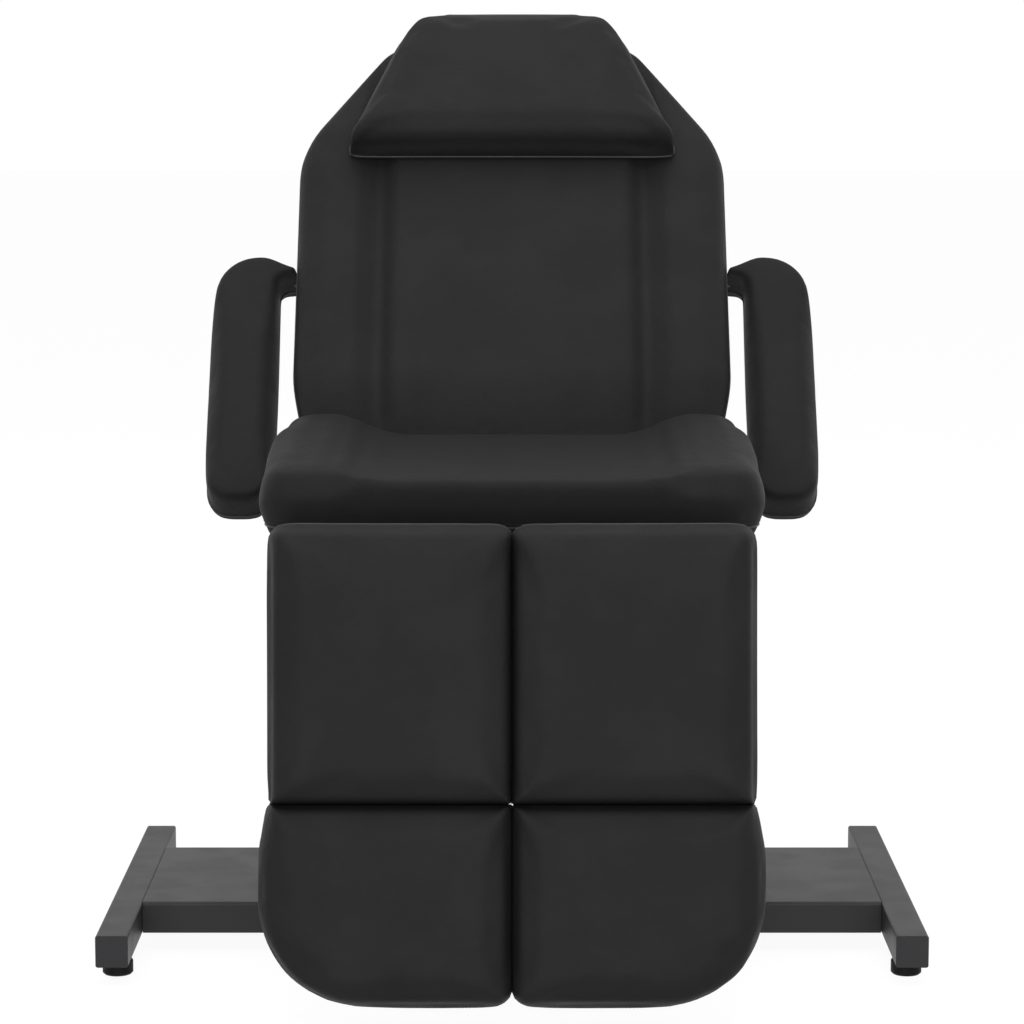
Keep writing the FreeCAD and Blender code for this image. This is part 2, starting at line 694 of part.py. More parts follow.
def back_board():
    """Plywood board behind the back cushion, cut to its outline and drilled."""
    outline = inset(back_outline(), BACK_BOARD_MARGIN)
    board = prism(outline, lambda a, b: V(a, b, HALF_DEPTH), V(0, 0, BOARD_THICKNESS))
    board = board.cut(box(-BACK_HALF_WIDTH, BACK_HALF_WIDTH, BACK_BOTTOM, BACK_BOARD_START, 0, BACK_FOAM_V))
    depth = BACK_RAIL_DEPTH + BOARD_THICKNESS * 0.7
    for place in back_screw_places():
        hole = screw_hole(place, V(0, 0, 1), depth)
        board = board.cut(hole).cut(mirrored(hole))
    return board


def back_cushion():
    """Back pad with two sewn channels that part its side bolsters from the middle."""
    pad = cushion(back_outline(), BACK_FOAM_V, BACK_FOAM)
    height = BACK_CROWN_V + BACK_CHANNEL_RADIUS - BACK_CHANNEL_DEPTH
    start = V(BACK_CHANNEL_X, BACK_BOTTOM - BACK_CHANNEL_RADIUS, height)
    end = V(BACK_CHANNEL_X, BACK_TOP, height)
    channel = rod(2 * BACK_CHANNEL_RADIUS, start, end)
    return pad.cut(channel).cut(mirrored(channel))


def back_hinge_bolts():
    """Pivot bolts through the seat rail lugs and the back rails, with nuts inside."""
    head = V(SEAT_RAIL_INNER_X, BACK_HINGE_Y, BACK_HINGE_Z)
    nut = V(BACK_RAIL_INNER_X - FACE_CLEARANCE, BACK_HINGE_Y, BACK_HINGE_Z)
    across = BACK_BOLT_DIAMETER * 1.5
    height = BACK_BOLT_DIAMETER * 0.6
    ends = [hexagon(across, height, head, X_AXIS), hexagon(across, height, nut, -X_AXIS)]
    bolt = rod(BACK_BOLT_DIAMETER, nut, head).fuse(ends).removeSplitter()
    return both_sides(bolt)


# Head pillow


def pillow_section(u, half_width, thickness):
    """One cross section of the head pillow, standing on the back cushion's crown."""
    base = BACK_CROWN_V + FACE_CLEARANCE
    edge = thickness * 0.3
    corners = [
        (-half_width, base, edge / 3),
        (half_width, base, edge / 3),
        (half_width, base + thickness, edge),
        (-half_width, base + thickness, edge),
    ]
    return rounded_loop(corners, lambda a, b: V(a, u, b))


def head_pillow():
    """Wedge-shaped pillow, thick and wide at the neck and narrow with round corners at the top."""
    length = PILLOW_TOP - PILLOW_BOTTOM
    taper = (PILLOW_HALF_WIDTH - PILLOW_TOP_HALF_WIDTH) / length
    corner_start = length - 0.75 * PILLOW_CORNER
    stations = [(0, 12, 0.62), (6, 5, 0.82), (16, 1, 0.96), (30, 0, 1.0)]
    stations += [(length * share, 0, 1.0) for share in (0.3, 0.45, 0.6)]
    stations += [(corner_start, 0, 0.97), (length - PILLOW_CORNER * 0.28, 14, 0.88), (length, 40, 0.55)]
    wires = []
    for along, drawn_in, fullness in stations:
        thickness = PILLOW_THICKNESS + (PILLOW_TOP_THICKNESS - PILLOW_THICKNESS) * along / length
        half = PILLOW_HALF_WIDTH - taper * along - drawn_in
        wires.append(pillow_section(PILLOW_BOTTOM + along, half, thickness * fullness))
    return Part.makeLoft(wires, True, False)


# Armrests


def arm_socket():
    """Round socket welded on the side of the back rail, with a boss for the clamp screw."""
    bore = ARM_TUBE_DIAMETER + 2 * RUN_CLEARANCE
    socket = rod_x(ARM_SOCKET_DIAMETER, BACK_RAIL_OUTER_X, ARM_SOCKET_END_X, ARM_PIVOT_U, 0)
    root = V(ARM_KNOB_X, ARM_PIVOT_U, 0)
    boss_end = root - V(0, 0, ARM_SOCKET_DIAMETER / 2 + ARM_BOSS_HEIGHT)
    socket = socket.fuse(rod(ARM_BOSS_DIAMETER, root, boss_end)).removeSplitter()
    socket = socket.cut(rod_x(bore, ARM_TUBE_START_X - 1, ARM_SOCKET_END_X, ARM_PIVOT_U, 0))
    return socket.cut(rod(ARM_SCREW_DIAMETER + 2 * RUN_CLEARANCE, root, boss_end))


def arm_path(diameter, end_u):
    """Bent tube: out of its socket, round one bend and down along the armrest."""
    bend = ARM_BEND_RADIUS
    centre = V(ARM_TUBE_X - bend, ARM_PIVOT_U - bend, 0)
    corner = bend * math.sqrt(0.5)
    start = V(ARM_TUBE_START_X, ARM_PIVOT_U, 0)
    before = V(ARM_TUBE_X - bend, ARM_PIVOT_U, 0)
    after = V(ARM_TUBE_X, ARM_PIVOT_U - bend, 0)
    path = Part.Wire(
        [
            Part.LineSegment(start, before).toShape(),
            Part.Arc(before, centre + V(corner, corner, 0), after).toShape(),
            Part.LineSegment(after, V(ARM_TUBE_X, end_u, 0)).toShape(),
        ]
    )
    section = Part.Wire(Part.Circle(start, X_AXIS, diameter / 2).toShape())
    return path.makePipeShell([section], True, False)


def arm_tube():
    """Right-hand armrest tube."""
    return arm_path(ARM_TUBE_DIAMETER, ARM_TUBE_END_U)


def arm_pad():
    """Padded armrest round its tube, with a broad outer shoulder and a neck at the back."""
    top = ARM_PIVOT_U + ARM_PAD_NECK_HALF
    low = ARM_PIVOT_U - ARM_PAD_NECK_HALF
    neck = ARM_PAD_NECK_HALF / 2
    outline = [
        (ARM_PAD_INNER_X, ARM_PAD_END_U, ARM_END_CORNER),
        (ARM_PAD_OUTER_X, ARM_PAD_END_U, ARM_END_CORNER),
        (ARM_PAD_OUTER_X, top, ARM_SHOULDER),
        (ARM_PAD_NECK_X, top, neck / 2),
        (ARM_PAD_NECK_X, low, neck / 2),
        (ARM_PAD_INNER_X, low, neck / 3),
    ]
    height = ARM_PAD_BELOW + ARM_PAD_ABOVE
    pad = cushion(outline, -ARM_PAD_BELOW, height, 0.45)
    return pad.cut(arm_path(ARM_TUBE_DIAMETER + 2 * BOLT_CLEARANCE, ARM_TUBE_END_U - FACE_CLEARANCE))


def arm_knob():
    """Lobed clamp knob with its screw, on the rear of the right-hand socket."""
    boss_end = -ARM_SOCKET_DIAMETER / 2 - ARM_BOSS_HEIGHT
    face = boss_end - FACE_CLEARANCE
    knob = lobed_knob(ARM_KNOB_DIAMETER, ARM_KNOB_HEIGHT)
    knob.rotate(V(0, 0, 0), X_AXIS, 180)
    knob.translate(V(0, 0, face))
    tip = -ARM_TUBE_DIAMETER / 2 - FACE_CLEARANCE
    knob = knob.fuse(rod(ARM_SCREW_DIAMETER, V(0, 0, face - ARM_KNOB_HEIGHT / 2), V(0, 0, tip))).removeSplitter()
    knob.translate(V(ARM_KNOB_X, ARM_PIVOT_U, 0))
    return knob


def lobed_knob(diameter, height):
    """Hand knob standing on z = 0: a round grip with finger hollows."""
    radius = diameter / 2
    edge = height / 5
    outline = [(0, 0, 0), (radius - edge, 0, 0), (radius, edge, edge / 2), (radius, height, edge), (0, height, 0)]
    knob = Part.Face(rounded_loop(outline, lambda a, b: V(a, 0, b))).revolve(V(0, 0, 0), V(0, 0, 1), 360)
    for k in range(6):
        angle = k * math.pi / 3
        place = V(1.22 * radius * math.cos(angle), 1.22 * radius * math.sin(angle), -1)
        knob = knob.cut(rod(0.7 * radius, place, place + V(0, 0, height + 2)))
    return knob


# Leg rests


def leg_hinge_rod():
    """Hinge rod across both leg rests, with a thinner stud for a knob at each end."""
    stud_end = SEAT_RAIL_INNER_X + FACE_CLEARANCE + 0.8 * LEG_KNOB_WIDTH
    middle = rod_x(LEG_ROD_DIAMETER, -SEAT_RAIL_INNER_X, SEAT_RAIL_INNER_X, LEG_HINGE_Y, LEG_HINGE_Z)
    return middle.fuse(rod_x(LEG_KNOB_STUD, -stud_end, stud_end, LEG_HINGE_Y, LEG_HINGE_Z)).removeSplitter()


def leg_hinge_centre_bracket():
    """Upright plate that carries the middle of the hinge rod from the pedestal top plate."""
    half = LEG_BRACKET_THICKNESS / 2
    rear = BASE_CENTRE_Y - PLATE_AHEAD / 2
    under = SEAT_BOARD_Z - FACE_CLEARANCE
    front = SEAT_FRONT_Y
    outline = [
        (rear, SEAT_RAIL_Z, 0),
        (rear, under, LUG_RADIUS / 2),
        (front, under, LUG_RADIUS / 4),
        (LEG_HINGE_Y + LUG_RADIUS, LEG_HINGE_Z + LUG_RADIUS, LUG_RADIUS / 2),
        (LEG_HINGE_Y - LUG_RADIUS, LEG_HINGE_Z + LUG_RADIUS, LUG_RADIUS - 1),
        (LEG_HINGE_Y - LUG_RADIUS, LEG_HINGE_Z - LUG_RADIUS, LUG_RADIUS - 1),
        (front, SEAT_RAIL_Z, 0),
    ]
    plate = plate_x(outline, -half, half)
    return plate.cut(rod_x(LEG_ROD_DIAMETER + 2 * RUN_CLEARANCE, -half - 1, half + 1, LEG_HINGE_Y, LEG_HINGE_Z))


def leg_friction_washers():
    """Washers that the clamped sleeves rub on, at the bracket and at the lugs."""
    inner = (LEG_BRACKET_THICKNESS / 2, LEG_SLEEVE_INNER_X - RUN_CLEARANCE)
    outer = (LEG_SLEEVE_OUTER_X + RUN_CLEARANCE, LUG_X)
    washers = []
    for x0, x1 in (inner, outer):
        ring = rod_x(2 * LUG_RADIUS, x0, x1, LEG_HINGE_Y, LEG_HINGE_Z)
        bore = rod_x(LEG_ROD_DIAMETER + 2 * RUN_CLEARANCE, x0, x1, LEG_HINGE_Y, LEG_HINGE_Z)
        washers.append(ring.cut(bore))
    return both_sides(Part.makeCompound(washers))


def leg_knob():
    """Lobed knob that clamps the right-hand leg rest."""
    knob = lobed_knob(LEG_KNOB_DIAMETER, LEG_KNOB_WIDTH)
    bore = rod(LEG_KNOB_STUD + 2 * RUN_CLEARANCE, V(0, 0, 0), V(0, 0, 0.8 * LEG_KNOB_WIDTH + FACE_CLEARANCE))
    knob = knob.cut(bore)
    knob.rotate(V(0, 0, 0), V(0, 1, 0), 90)
    knob.translate(V(SEAT_RAIL_INNER_X + FACE_CLEARANCE, LEG_HINGE_Y, LEG_HINGE_Z))
    return knob


def leg_frame():
    """Right-hand leg rest frame: hinge sleeve, spine tube and the pin of the foot rest."""
    half = LEG_SLEEVE_DIAMETER / 2
    x0 = LEG_SPINE_CENTRE_X - LEG_SPINE_WIDTH / 2
    x1 = LEG_SPINE_CENTRE_X + LEG_SPINE_WIDTH / 2
    spine_end = FOOT_HINGE_U - FOOT_SLEEVE_DIAMETER
    sleeve = rod_x(LEG_SLEEVE_DIAMETER, LEG_SLEEVE_INNER_X, LEG_SLEEVE_OUTER_X, 0, 0)
    spine = square_tube(x0, x1, -spine_end, 0, -half, half, TUBE_WALL)
    reach = FOOT_HINGE_U + half
    grip = FOOT_HINGE_U - 3 * FOOT_SLEEVE_DIAMETER
    cheek = [(-grip, -half, 0), (-grip, half, 0), (-reach, half, half - 1), (-reach, -half, half - 1)]
    lugs = [plate_x(cheek, x0, x0 + FOOT_LUG_THICKNESS), plate_x(cheek, x1 - FOOT_LUG_THICKNESS, x1)]
    pin = rod_x(FOOT_PIN_DIAMETER, x0, x1, -FOOT_HINGE_U, 0)
    frame = sleeve.fuse([spine, *lugs, pin]).removeSplitter()
    bore = LEG_ROD_DIAMETER + 2 * RUN_CLEARANCE
    return frame.cut(rod_x(bore, LEG_SLEEVE_INNER_X - 1, LEG_SLEEVE_OUTER_X + 1, 0, 0))


def pad_corners(outline):
    """A leg section outline given as (x, reach, radius), turned counter-clockwise on y = -reach."""
    return [(x, -reach, radius) for x, reach, radius in reversed(outline)]


def leg_outline():
    """Outline of the right-hand leg pad."""
    r = LEG_PAD_CORNER
    return pad_corners(
        [
            (LEG_PAD_INNER_X, LEG_PAD_TOP, r),
            (LEG_PAD_OUTER_X, LEG_PAD_TOP, r),
            (LEG_PAD_OUTER_X, LEG_PAD_END, CREASE_CORNER),
            (LEG_PAD_INNER_X, LEG_PAD_END, CREASE_CORNER),
        ]
    )


def leg_board():
    """Plywood board of the right-hand leg rest."""
    half = LEG_SLEEVE_DIAMETER / 2
    outline = inset(leg_outline(), LEG_BOARD_MARGIN)
    board = prism(outline, lambda a, b: V(a, b, half), V(0, 0, BOARD_THICKNESS))
    return board.cut(box(0, LEG_PAD_OUTER_X, -LEG_BOARD_START, -LEG_PAD_TOP, 0, LEG_FOAM_V))


def leg_pad():
    """Upholstered pad of the right-hand leg rest."""
    return cushion(leg_outline(), LEG_FOAM_V, LEG_FOAM, LEG_PAD_ROLL)


# Foot rests


def foot_bracket():
    """Sleeve on the leg frame's pin, with a flat bar under the foot board."""
    clear = FOOT_LUG_THICKNESS + FACE_CLEARANCE
    x0 = LEG_SPINE_CENTRE_X - LEG_SPINE_WIDTH / 2 + clear
    x1 = LEG_SPINE_CENTRE_X + LEG_SPINE_WIDTH / 2 - clear
    half_bar = FOOT_BAR_WIDTH / 2
    top = LEG_SLEEVE_DIAMETER / 2
    sleeve = rod_x(FOOT_SLEEVE_DIAMETER, x0, x1, -FOOT_HINGE_U, 0)
    end = FOOT_PAD_END - FOOT_BAR_WIDTH
    bar = box(
        LEG_SPINE_CENTRE_X - half_bar,
        LEG_SPINE_CENTRE_X + half_bar,
        -end,
        -FOOT_HINGE_U,
        top - FOOT_BAR_THICKNESS,
        top,
    )
    bracket = sleeve.fuse(bar).removeSplitter()
    return bracket.cut(rod_x(FOOT_PIN_DIAMETER + 2 * RUN_CLEARANCE, x0 - 1, x1 + 1, -FOOT_HINGE_U, 0))


def foot_outline():
    """Outline of the right-hand foot pad, with a large round outer end."""
    return pad_corners(
        [
            (LEG_PAD_INNER_X, FOOT_PAD_START, CREASE_CORNER),
            (LEG_PAD_OUTER_X, FOOT_PAD_START, CREASE_CORNER),
            (FOOT_PAD_WIDEST_X, FOOT_PAD_START + FOOT_PAD_FLARE_LENGTH, FOOT_PAD_END_CORNER),
            (FOOT_PAD_WIDEST_X, FOOT_PAD_END, FOOT_PAD_END_CORNER),
            (LEG_PAD_INNER_X, FOOT_PAD_END, FOOT_PAD_INNER_CORNER),
        ]
    )


def foot_board():
    """Plywood board of the right-hand foot rest."""
    half = LEG_SLEEVE_DIAMETER / 2
    outline = inset(foot_outline(), LEG_BOARD_MARGIN)
    return prism(outline, lambda a, b: V(a, b, half), V(0, 0, BOARD_THICKNESS))


def foot_pad():
    """Upholstered pad of the right-hand foot rest."""
    return cushion(foot_outline(), LEG_FOAM_V, LEG_FOAM, LEG_PAD_ROLL)


# Gas spring and its release lever


def spring_lower():
    """Lower pivot of the gas spring, under the pedestal top plate."""
    return V(0, BASE_CENTRE_Y - SPRING_LOWER_AHEAD, PLATE_Z - SPRING_LOWER_DROP)


def spring_upper():
    """Upper pivot of the gas spring, behind the back's lower cross tube."""
    angle = math.radians(BACK_ANGLE)
    y = SPRING_UPPER_U * math.cos(angle) - SPRING_UPPER_V * math.sin(angle)
    z = SPRING_UPPER_U * math.sin(angle) + SPRING_UPPER_V * math.cos(angle)
    return V(0, BACK_HINGE_Y + y, BACK_HINGE_Z + z)


def spring_eye(place):
    """Eye of the gas spring round one of its pins, without its bore."""
    half = SPRING_EYE_WIDTH / 2
    return rod_x(SPRING_EYE_DIAMETER, -half, half, place.y, place.z)


def eye_bore(place):
    """Bore of an eye that turns on its pin."""
    return rod_x(SPRING_PIN_DIAMETER + 2 * RUN_CLEARANCE, -SPRING_EYE_WIDTH, SPRING_EYE_WIDTH, place.y, place.z)


def gas_cylinder():
    """Gas spring cylinder: open tube with a closed foot and an eye."""
    low = spring_lower()
    along = (spring_upper() - low).normalize()
    foot = low + along * SPRING_NECK
    floor = foot + along * (SPRING_EYE_DIAMETER / 2)
    mouth = low + along * SPRING_CYLINDER_LENGTH
    body = rod(SPRING_CYLINDER_DIAMETER, foot, mouth).cut(rod(SPRING_CYLINDER_BORE, floor, mouth))
    neck = rod(SPRING_ROD_DIAMETER, low, floor)
    return body.fuse([neck, spring_eye(low)]).removeSplitter().cut(eye_bore(low))


def gas_piston_rod():
    """Gas spring rod with an eye at its upper end."""
    high = spring_upper()
    along = (high - spring_lower()).normalize()
    shaft = rod(SPRING_ROD_DIAMETER, high - along * SPRING_ROD_LENGTH, high)
    return shaft.fuse(spring_eye(high)).removeSplitter().cut(eye_bore(high))


def cheek_pair(corners, holes):
    """Two like plates either side of the spring eye, drilled for their pins."""
    x0 = SPRING_EYE_WIDTH / 2 + FACE_CLEARANCE
    x1 = x0 + CHEEK_THICKNESS
    cheek = plate_x(corners, x0, x1)
    for y, z in holes:
        cheek = cheek.cut(rod_x(SPRING_PIN_DIAMETER + 2 * BOLT_CLEARANCE, x0 - 1, x1 + 1, y, z))
    return both_sides(cheek)


def headed_pin(y, z):
    """Pivot pin through a pair of cheeks, with a head on each side."""
    reach = SPRING_EYE_WIDTH / 2 + FACE_CLEARANCE + CHEEK_THICKNESS
    head = SPRING_PIN_DIAMETER / 2
    pin = rod_x(SPRING_PIN_DIAMETER, -reach, reach, y, z)
    left = rod_x(1.6 * SPRING_PIN_DIAMETER, -reach - head, -reach, y, z)
    return pin.fuse([left, mirrored(left)]).removeSplitter()


def gas_lower_bracket():
    """Cheeks welded under the pedestal top plate for the spring's lower pin."""
    place = spring_lower()
    half = SPRING_EYE_DIAMETER * 0.7
    corners = [
        (place.y - 1.5 * half, PLATE_Z, 0),
        (place.y - half, place.z - half, half - 1),
        (place.y + half, place.z - half, half - 1),
        (place.y + 1.5 * half, PLATE_Z, 0),
    ]
    return cheek_pair(corners, [(place.y, place.z)])


def gas_upper_bracket():
    """Cheeks welded behind the back's lower cross tube for the spring and the lever."""
    half = SPRING_EYE_DIAMETER * 0.6
    tube = CROSS_TUBE_PLACES[0]
    corners = [
        (tube - HALF_DEPTH, -HALF_DEPTH, 0),
        (SPRING_UPPER_U - half, SPRING_UPPER_V - half, half - 1),
        (SPRING_UPPER_U + half, SPRING_UPPER_V - half, half - 1),
        (LEVER_PIVOT_U + half, LEVER_PIVOT_V - half / 2, half / 2),
        (LEVER_PIVOT_U + half, LEVER_PIVOT_V + half, half / 2),
        (tube + HALF_DEPTH, -HALF_DEPTH, 0),
    ]
    return cheek_pair(corners, [(SPRING_UPPER_U, SPRING_UPPER_V), (LEVER_PIVOT_U, LEVER_PIVOT_V)])


def gas_upper_pins():
    """Pins of the spring's upper eye and of the release lever."""
    places = ((SPRING_UPPER_U, SPRING_UPPER_V), (LEVER_PIVOT_U, LEVER_PIVOT_V))
    return Part.makeCompound([headed_pin(u, v) for u, v in places])


def recline_lever():
    """Release lever: a hub between the cheeks and a rod up behind the back."""
    half = SPRING_EYE_WIDTH / 2
    hub = rod_x(SPRING_EYE_DIAMETER * 0.8, -half, half, LEVER_PIVOT_U, LEVER_PIVOT_V)
    start = V(0, LEVER_PIVOT_U, LEVER_PIVOT_V)
    shaft = rod(LEVER_DIAMETER, start, start + V(0, LEVER_LENGTH, 0))
    lever = hub.fuse(shaft).removeSplitter()
    return lever.cut(eye_bore(start))


def recline_lever_grip():
    """Moulded grip pressed on the end of the lever."""
    radius = LEVER_GRIP_DIAMETER / 2
    inner = LEVER_DIAMETER / 2 + RUN_CLEARANCE
    cover = LEVER_GRIP_LENGTH * 0.75
    outline = [
        (inner, 0, 0),
        (radius * 0.75, 0, radius / 6),
        (radius, LEVER_GRIP_LENGTH * 0.7, LEVER_GRIP_LENGTH),
        (radius * 0.8, LEVER_GRIP_LENGTH, radius / 3),
        (0, LEVER_GRIP_LENGTH, 0),
        (0, cover, 0),
        (inner, cover, 0),
    ]
    grip = Part.Face(rounded_loop(outline, lambda a, b: V(a, b, 0))).revolve(V(0, 0, 0), V(0, 1, 0), 360)
    grip.translate(V(0, LEVER_PIVOT_U + LEVER_LENGTH - cover, LEVER_PIVOT_V))
    return grip


def build():
    """Every piece of the chair, by the name of its file."""
    parts = {
        "rail_end_caps": rail_end_caps(),
        "base_crosspiece": base_crosspiece(),
        "levelling_bushes": levelling_bushes(),
        "pedestal_bolts": pedestal_bolts(),
        "pedestal_top_plate": pedestal_top_plate(),
        "seat_screws": seat_screws(),
        "seat_board": seat_board(),
        "seat_cushion": seat_cushion(),
        "leg_hinge_rod": leg_hinge_rod(),
        "leg_hinge_centre_bracket": leg_hinge_centre_bracket(),
        "leg_friction_washers": leg_friction_washers(),
        "back_hinge_bolts": back_hinge_bolts(),
        "gas_lower_bracket": gas_lower_bracket(),
        "gas_lower_pin": headed_pin(spring_lower().y, spring_lower().z),
        "gas_cylinder": gas_cylinder(),
        "gas_piston_rod": gas_piston_rod(),
        "back_screws": on_back(back_screws()),
        "back_cross_tube_lower": on_back(back_cross_tube(CROSS_TUBE_PLACES[0])),
        "back_cross_tube_upper": on_back(back_cross_tube(CROSS_TUBE_PLACES[1])),
        "back_board": on_back(back_board()),
        "back_cushion": on_back(back_cushion()),
        "gas_upper_bracket": on_back(gas_upper_bracket()),
        "gas_upper_pins": on_back(gas_upper_pins()),
        "recline_lever": on_back(recline_lever()),
        "recline_lever_grip": on_back(recline_lever_grip()),
        "head_pillow": on_back(head_pillow()),
    }
    for name, place in foot_places().items():
        parts["levelling_foot_" + name] = levelling_foot(place)
    sides = {
        "base_rail": base_rail(),
        "pedestal_post": pedestal_post(),
        "seat_rail": seat_rail(),
        "back_rail": on_back(back_rail()),
        "arm_socket": on_back(arm_socket()),
        "arm_tube": on_back(arm_tube()),
        "arm_pad": on_back(arm_pad()),
        "arm_knob": on_back(arm_knob()),
        "leg_knob": leg_knob(),
        "leg_frame": on_leg(leg_frame()),
        "leg_board": on_leg(leg_board()),
        "leg_pad": on_leg(leg_pad()),
        "foot_bracket": on_leg(foot_bracket()),
        "foot_board": on_leg(foot_board()),
        "foot_pad": on_leg(foot_pad()),
    }
    for name, shape in sides.items():
        parts[name + "_right"] = shape
        parts[name + "_left"] = mirrored(shape)
    return parts


os.makedirs("parts", exist_ok=True)
for node, shape in build().items():
    shape.exportStep(os.path.join("parts", node + ".step"))
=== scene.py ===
"""Beauty treatment chair: finishes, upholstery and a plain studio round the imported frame."""

import json
import logging
import math
from collections.abc import Callable
from dataclasses import dataclass, field
from enum import Enum

import bmesh
import bpy
from mathutils import Matrix, Vector

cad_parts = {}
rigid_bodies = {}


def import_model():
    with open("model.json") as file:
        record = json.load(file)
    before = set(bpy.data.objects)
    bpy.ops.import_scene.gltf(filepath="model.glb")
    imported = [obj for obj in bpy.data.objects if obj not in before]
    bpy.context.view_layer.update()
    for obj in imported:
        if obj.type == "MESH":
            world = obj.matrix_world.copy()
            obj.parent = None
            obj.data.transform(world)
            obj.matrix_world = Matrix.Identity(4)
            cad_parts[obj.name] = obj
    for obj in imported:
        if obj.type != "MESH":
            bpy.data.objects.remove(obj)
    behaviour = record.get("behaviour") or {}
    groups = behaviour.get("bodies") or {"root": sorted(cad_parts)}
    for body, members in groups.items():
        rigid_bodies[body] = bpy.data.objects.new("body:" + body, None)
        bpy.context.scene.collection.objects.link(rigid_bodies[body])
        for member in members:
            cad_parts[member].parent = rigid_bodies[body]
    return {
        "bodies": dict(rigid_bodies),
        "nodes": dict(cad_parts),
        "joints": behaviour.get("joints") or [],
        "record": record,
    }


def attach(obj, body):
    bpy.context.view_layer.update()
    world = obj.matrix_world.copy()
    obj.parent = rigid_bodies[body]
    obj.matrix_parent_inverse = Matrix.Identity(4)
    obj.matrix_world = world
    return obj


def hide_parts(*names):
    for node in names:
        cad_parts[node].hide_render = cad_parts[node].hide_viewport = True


log = logging.getLogger("treatment_chair")
MILLIMETRE = 0.001
STITCH_RISE = 4.5 * MILLIMETRE
MERGE_DISTANCE = 0.01 * MILLIMETRE
NODE_STEP = 210
MIX_FACTOR, MIX_FIRST, MIX_SECOND, MIX_RESULT = 0, 6, 7, 2
FINE_VOXEL = 4.8 * MILLIMETRE
BROAD_VOXEL = 6.2 * MILLIMETRE
FIRM_FILL = 0.8
SOFT_FILL = 0.7
UP = Vector((0, 0, 1))

Colour = tuple[float, float, float]
Place = tuple[float, float, float]
Span = tuple[float, float]
Limits = list[Span]
Tree = bpy.types.NodeTree
Socket = bpy.types.NodeSocket


class Look(Enum):
    """Finishes of the chair, named as the record's material slots where it has one."""

    UPHOLSTERY = "upholstery"
    BASE_PAINT = "base_paint"
    FRAME_PAINT = "frame_paint"
    BRIGHT_STEEL = "bright_steel"
    PLATED_ROD = "plated_rod"
    PLYWOOD = "plywood"
    BLACK_PLASTIC = "black_plastic"
    PIPING = "piping"
    THREAD = "thread"

    @property
    def slot(self) -> str:
        """The record's slot that a piece of this look belongs to."""
        return Look.UPHOLSTERY.value if self in (Look.PIPING, Look.THREAD) else self.value


class Side(Enum):
    """The chair's two sides and the sign of x on each."""

    LEFT = -1
    RIGHT = 1

    @property
    def word(self) -> str:
        """The side's name as the nodes use it."""
        return self.name.lower()


class NodeBuilder:
    """Places and links shader nodes in one tree."""

    def __init__(self, tree: Tree) -> None:
        """Start on an empty tree.

        Args:
            tree: the node tree that gets the nodes.
        """
        self.tree = tree
        tree.nodes.clear()

    def add(self, kind: str, values: dict | None = None, **settings: object) -> bpy.types.Node:
        """Add one node.

        Args:
            kind: the node's type name.
            values: input values by socket name or number.
            settings: attributes of the node itself.

        Returns:
            The new node.
        """
        node = self.tree.nodes.new(kind)
        node.location = (NODE_STEP * len(self.tree.nodes), 0)
        for key, value in settings.items():
            setattr(node, key, value)
        for key, value in (values or {}).items():
            node.inputs[key].default_value = value
        return node

    def link(self, source: Socket, target: Socket) -> None:
        """Join an output to an input."""
        self.tree.links.new(source, target)

    def ramp(self, source: Socket, low: float, high: float, start: float, end: float) -> Socket:
        """Map a value from one range to another.

        Args:
            source: the value to map.
            low: lower end of its range.
            high: upper end of its range.
            start: result at the lower end.
            end: result at the upper end.

        Returns:
            The mapped value's socket.
        """
        names = {"From Min": low, "From Max": high, "To Min": start, "To Max": end}
        node = self.add("ShaderNodeMapRange", names, interpolation_type="SMOOTHSTEP")
        self.link(source, node.inputs["Value"])
        return node.outputs["Result"]

    def blend(self, factor: Socket, first: Colour, second: Colour) -> Socket:
        """Mix two colours.

        Args:
            factor: share of the second colour.
            first: colour at 0.
            second: colour at 1.

        Returns:
            The mixed colour's socket.
        """
        node = self.add("ShaderNodeMix", data_type="RGBA")
        node.inputs[MIX_FIRST].default_value = (*first, 1)
        node.inputs[MIX_SECOND].default_value = (*second, 1)
        self.link(factor, node.inputs[MIX_FACTOR])
        return node.outputs[MIX_RESULT]

    def cover(self, factor: Socket, under: Socket, over: Colour) -> Socket:
        """Lay a colour over a varying one.

        Args:
            factor: share of the upper colour.
            under: socket of the lower colour.
            over: the upper colour.

        Returns:
            The mixed colour's socket.
        """
        mixed = self.blend(factor, (0, 0, 0), over)
        self.link(under, mixed.node.inputs[MIX_FIRST])
        return mixed


